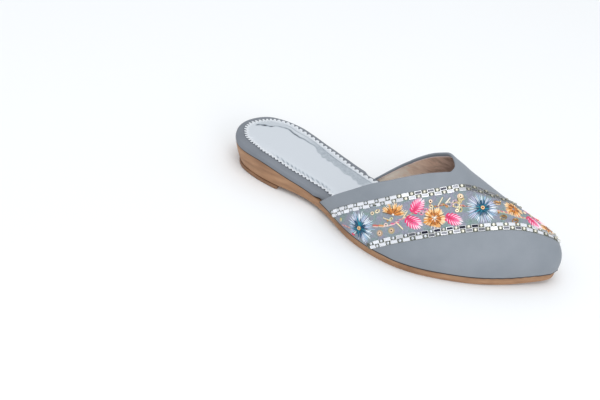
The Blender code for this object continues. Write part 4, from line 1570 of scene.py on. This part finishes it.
# %% Beads, sequins and bugles
RING = 0.17
ring = small_piece(
    bpy.ops.mesh.primitive_torus_add,
    major_segments=12, minor_segments=6, major_radius=2 * RING, minor_radius=RING,
)
RING_BEAD = shape_of(ring, RING)
DISC = shape_of(small_piece(bpy.ops.mesh.primitive_cylinder_add, vertices=14, radius=0.5, depth=1.0), 0.5)
tube = shape_of(small_piece(bpy.ops.mesh.primitive_cylinder_add, 0.04, vertices=8, radius=0.5, depth=1.0))
BUGLE = Shape(lying(tube.points) + [0.5, 0, 0.5], tube.faces)

SEQUINS = [
    (140.2, 15.2), (146.7, 20.5), (177, 65), (224.5, 128.5), (221, 150), (183.5, 165.5), (175.5, 167.5),
]
PEARLS = SEQUINS + [(130, 22.2), (161.4, 49), (179.4, 53.8), (217, 104), (228, 140)]
HEARTS = [(168.6, 41.2), (143.2, 28.8), (234.5, 113), (193.5, 163.5)]
SEEDS = [
    (170, 52.3), (141.7, 24.2), (165.5, 48), (176, 55), (203.6, 74.6), (211, 85), (200.4, 90), (226, 122),
    (186.5, 169.5), (190, 158),
]
BUGLE_ENDS = [
    (150.0, 30.5, 150.6, 36.2), (147.2, 26.2, 153.4, 24.8), (138.2, 24.0, 143.6, 25.2),
    (167.0, 49.2, 167.2, 56.0), (170.6, 53.6, 171.7, 59.2), (224.0, 147.0, 220.5, 144.5),
    (184.0, 157.5, 187.0, 161.0), (222.0, 112.0, 219.0, 117.0),
]
BUGLE_WIDTH = 0.95
UPRIGHT = (
    (RING_BEAD, BLUE_PLACES, 0.75, (2.8, 2.8, 2.6), "EDBE8E E9C08F"),
    (ROUND_BEAD, BLUE_PLACES, 0.75, (1.0, 1.0, 0.9), "5A3422"),
    (DISC, SEQUINS, 0.0, (4.4, 4.4, 0.3), "C9B58A C8AE94 B9B58C"),
    (RING_BEAD, PEARLS, 0.25, (2.6, 2.6, 2.6), "F6E2C4 F9EAD4 F0D2B8"),
    (ROUND_BEAD, PEARLS, 0.25, (1.05, 1.05, 0.9), "3E281E"),
    (ROUND_BEAD, HEARTS, 0.7, (1.8, 1.5, 1.6), "F1EAE2"),
    (ROUND_BEAD, SEEDS, 0.25, (1.3, 1.3, 1.2), "D9A35C C98F4A E9CFA0"),
)


def gold_glass():
    """Drawn and pressed glass under a thin gold lustre: a soft shine, unevenly thinned by wear."""
    material, shader, place = new_material("lustred_gold_glass", "E9D9B4", 0.28, Metallic=0.45)
    sheen = uneven(shader, place, 0.8, 0.2, 0.4)
    set_up(shader, Base_Color=dyed(shader, place, 1.2, 0.9, 1.08), Roughness=sheen)
    return material


glass = []
for shape, addresses, lift, size, hexes in UPRIGHT:
    point, normal, along, _ = skin_frame(*numpy.array(addresses, float).T)
    standing = places_for(point + normal * (GROUND_LIFT + lift), along, normal, *size)
    glass.append((shape, standing, picked(len(addresses), hexes)))
start_y, start_angle, end_y, end_angle = numpy.array(BUGLE_ENDS).T
start, normal, _, _ = skin_frame(start_y, start_angle)
run = skin(end_y, end_angle) - start
size = (numpy.linalg.norm(run, axis=1), BUGLE_WIDTH, BUGLE_WIDTH)
tubes = places_for(start + normal * GROUND_LIFT, run, normal, *size)
glass.append((BUGLE, tubes, picked(len(tubes), "F1E4C6 E9DBB4 F6EEDC")))
strew("beads_and_sequins", glass, gold_glass())
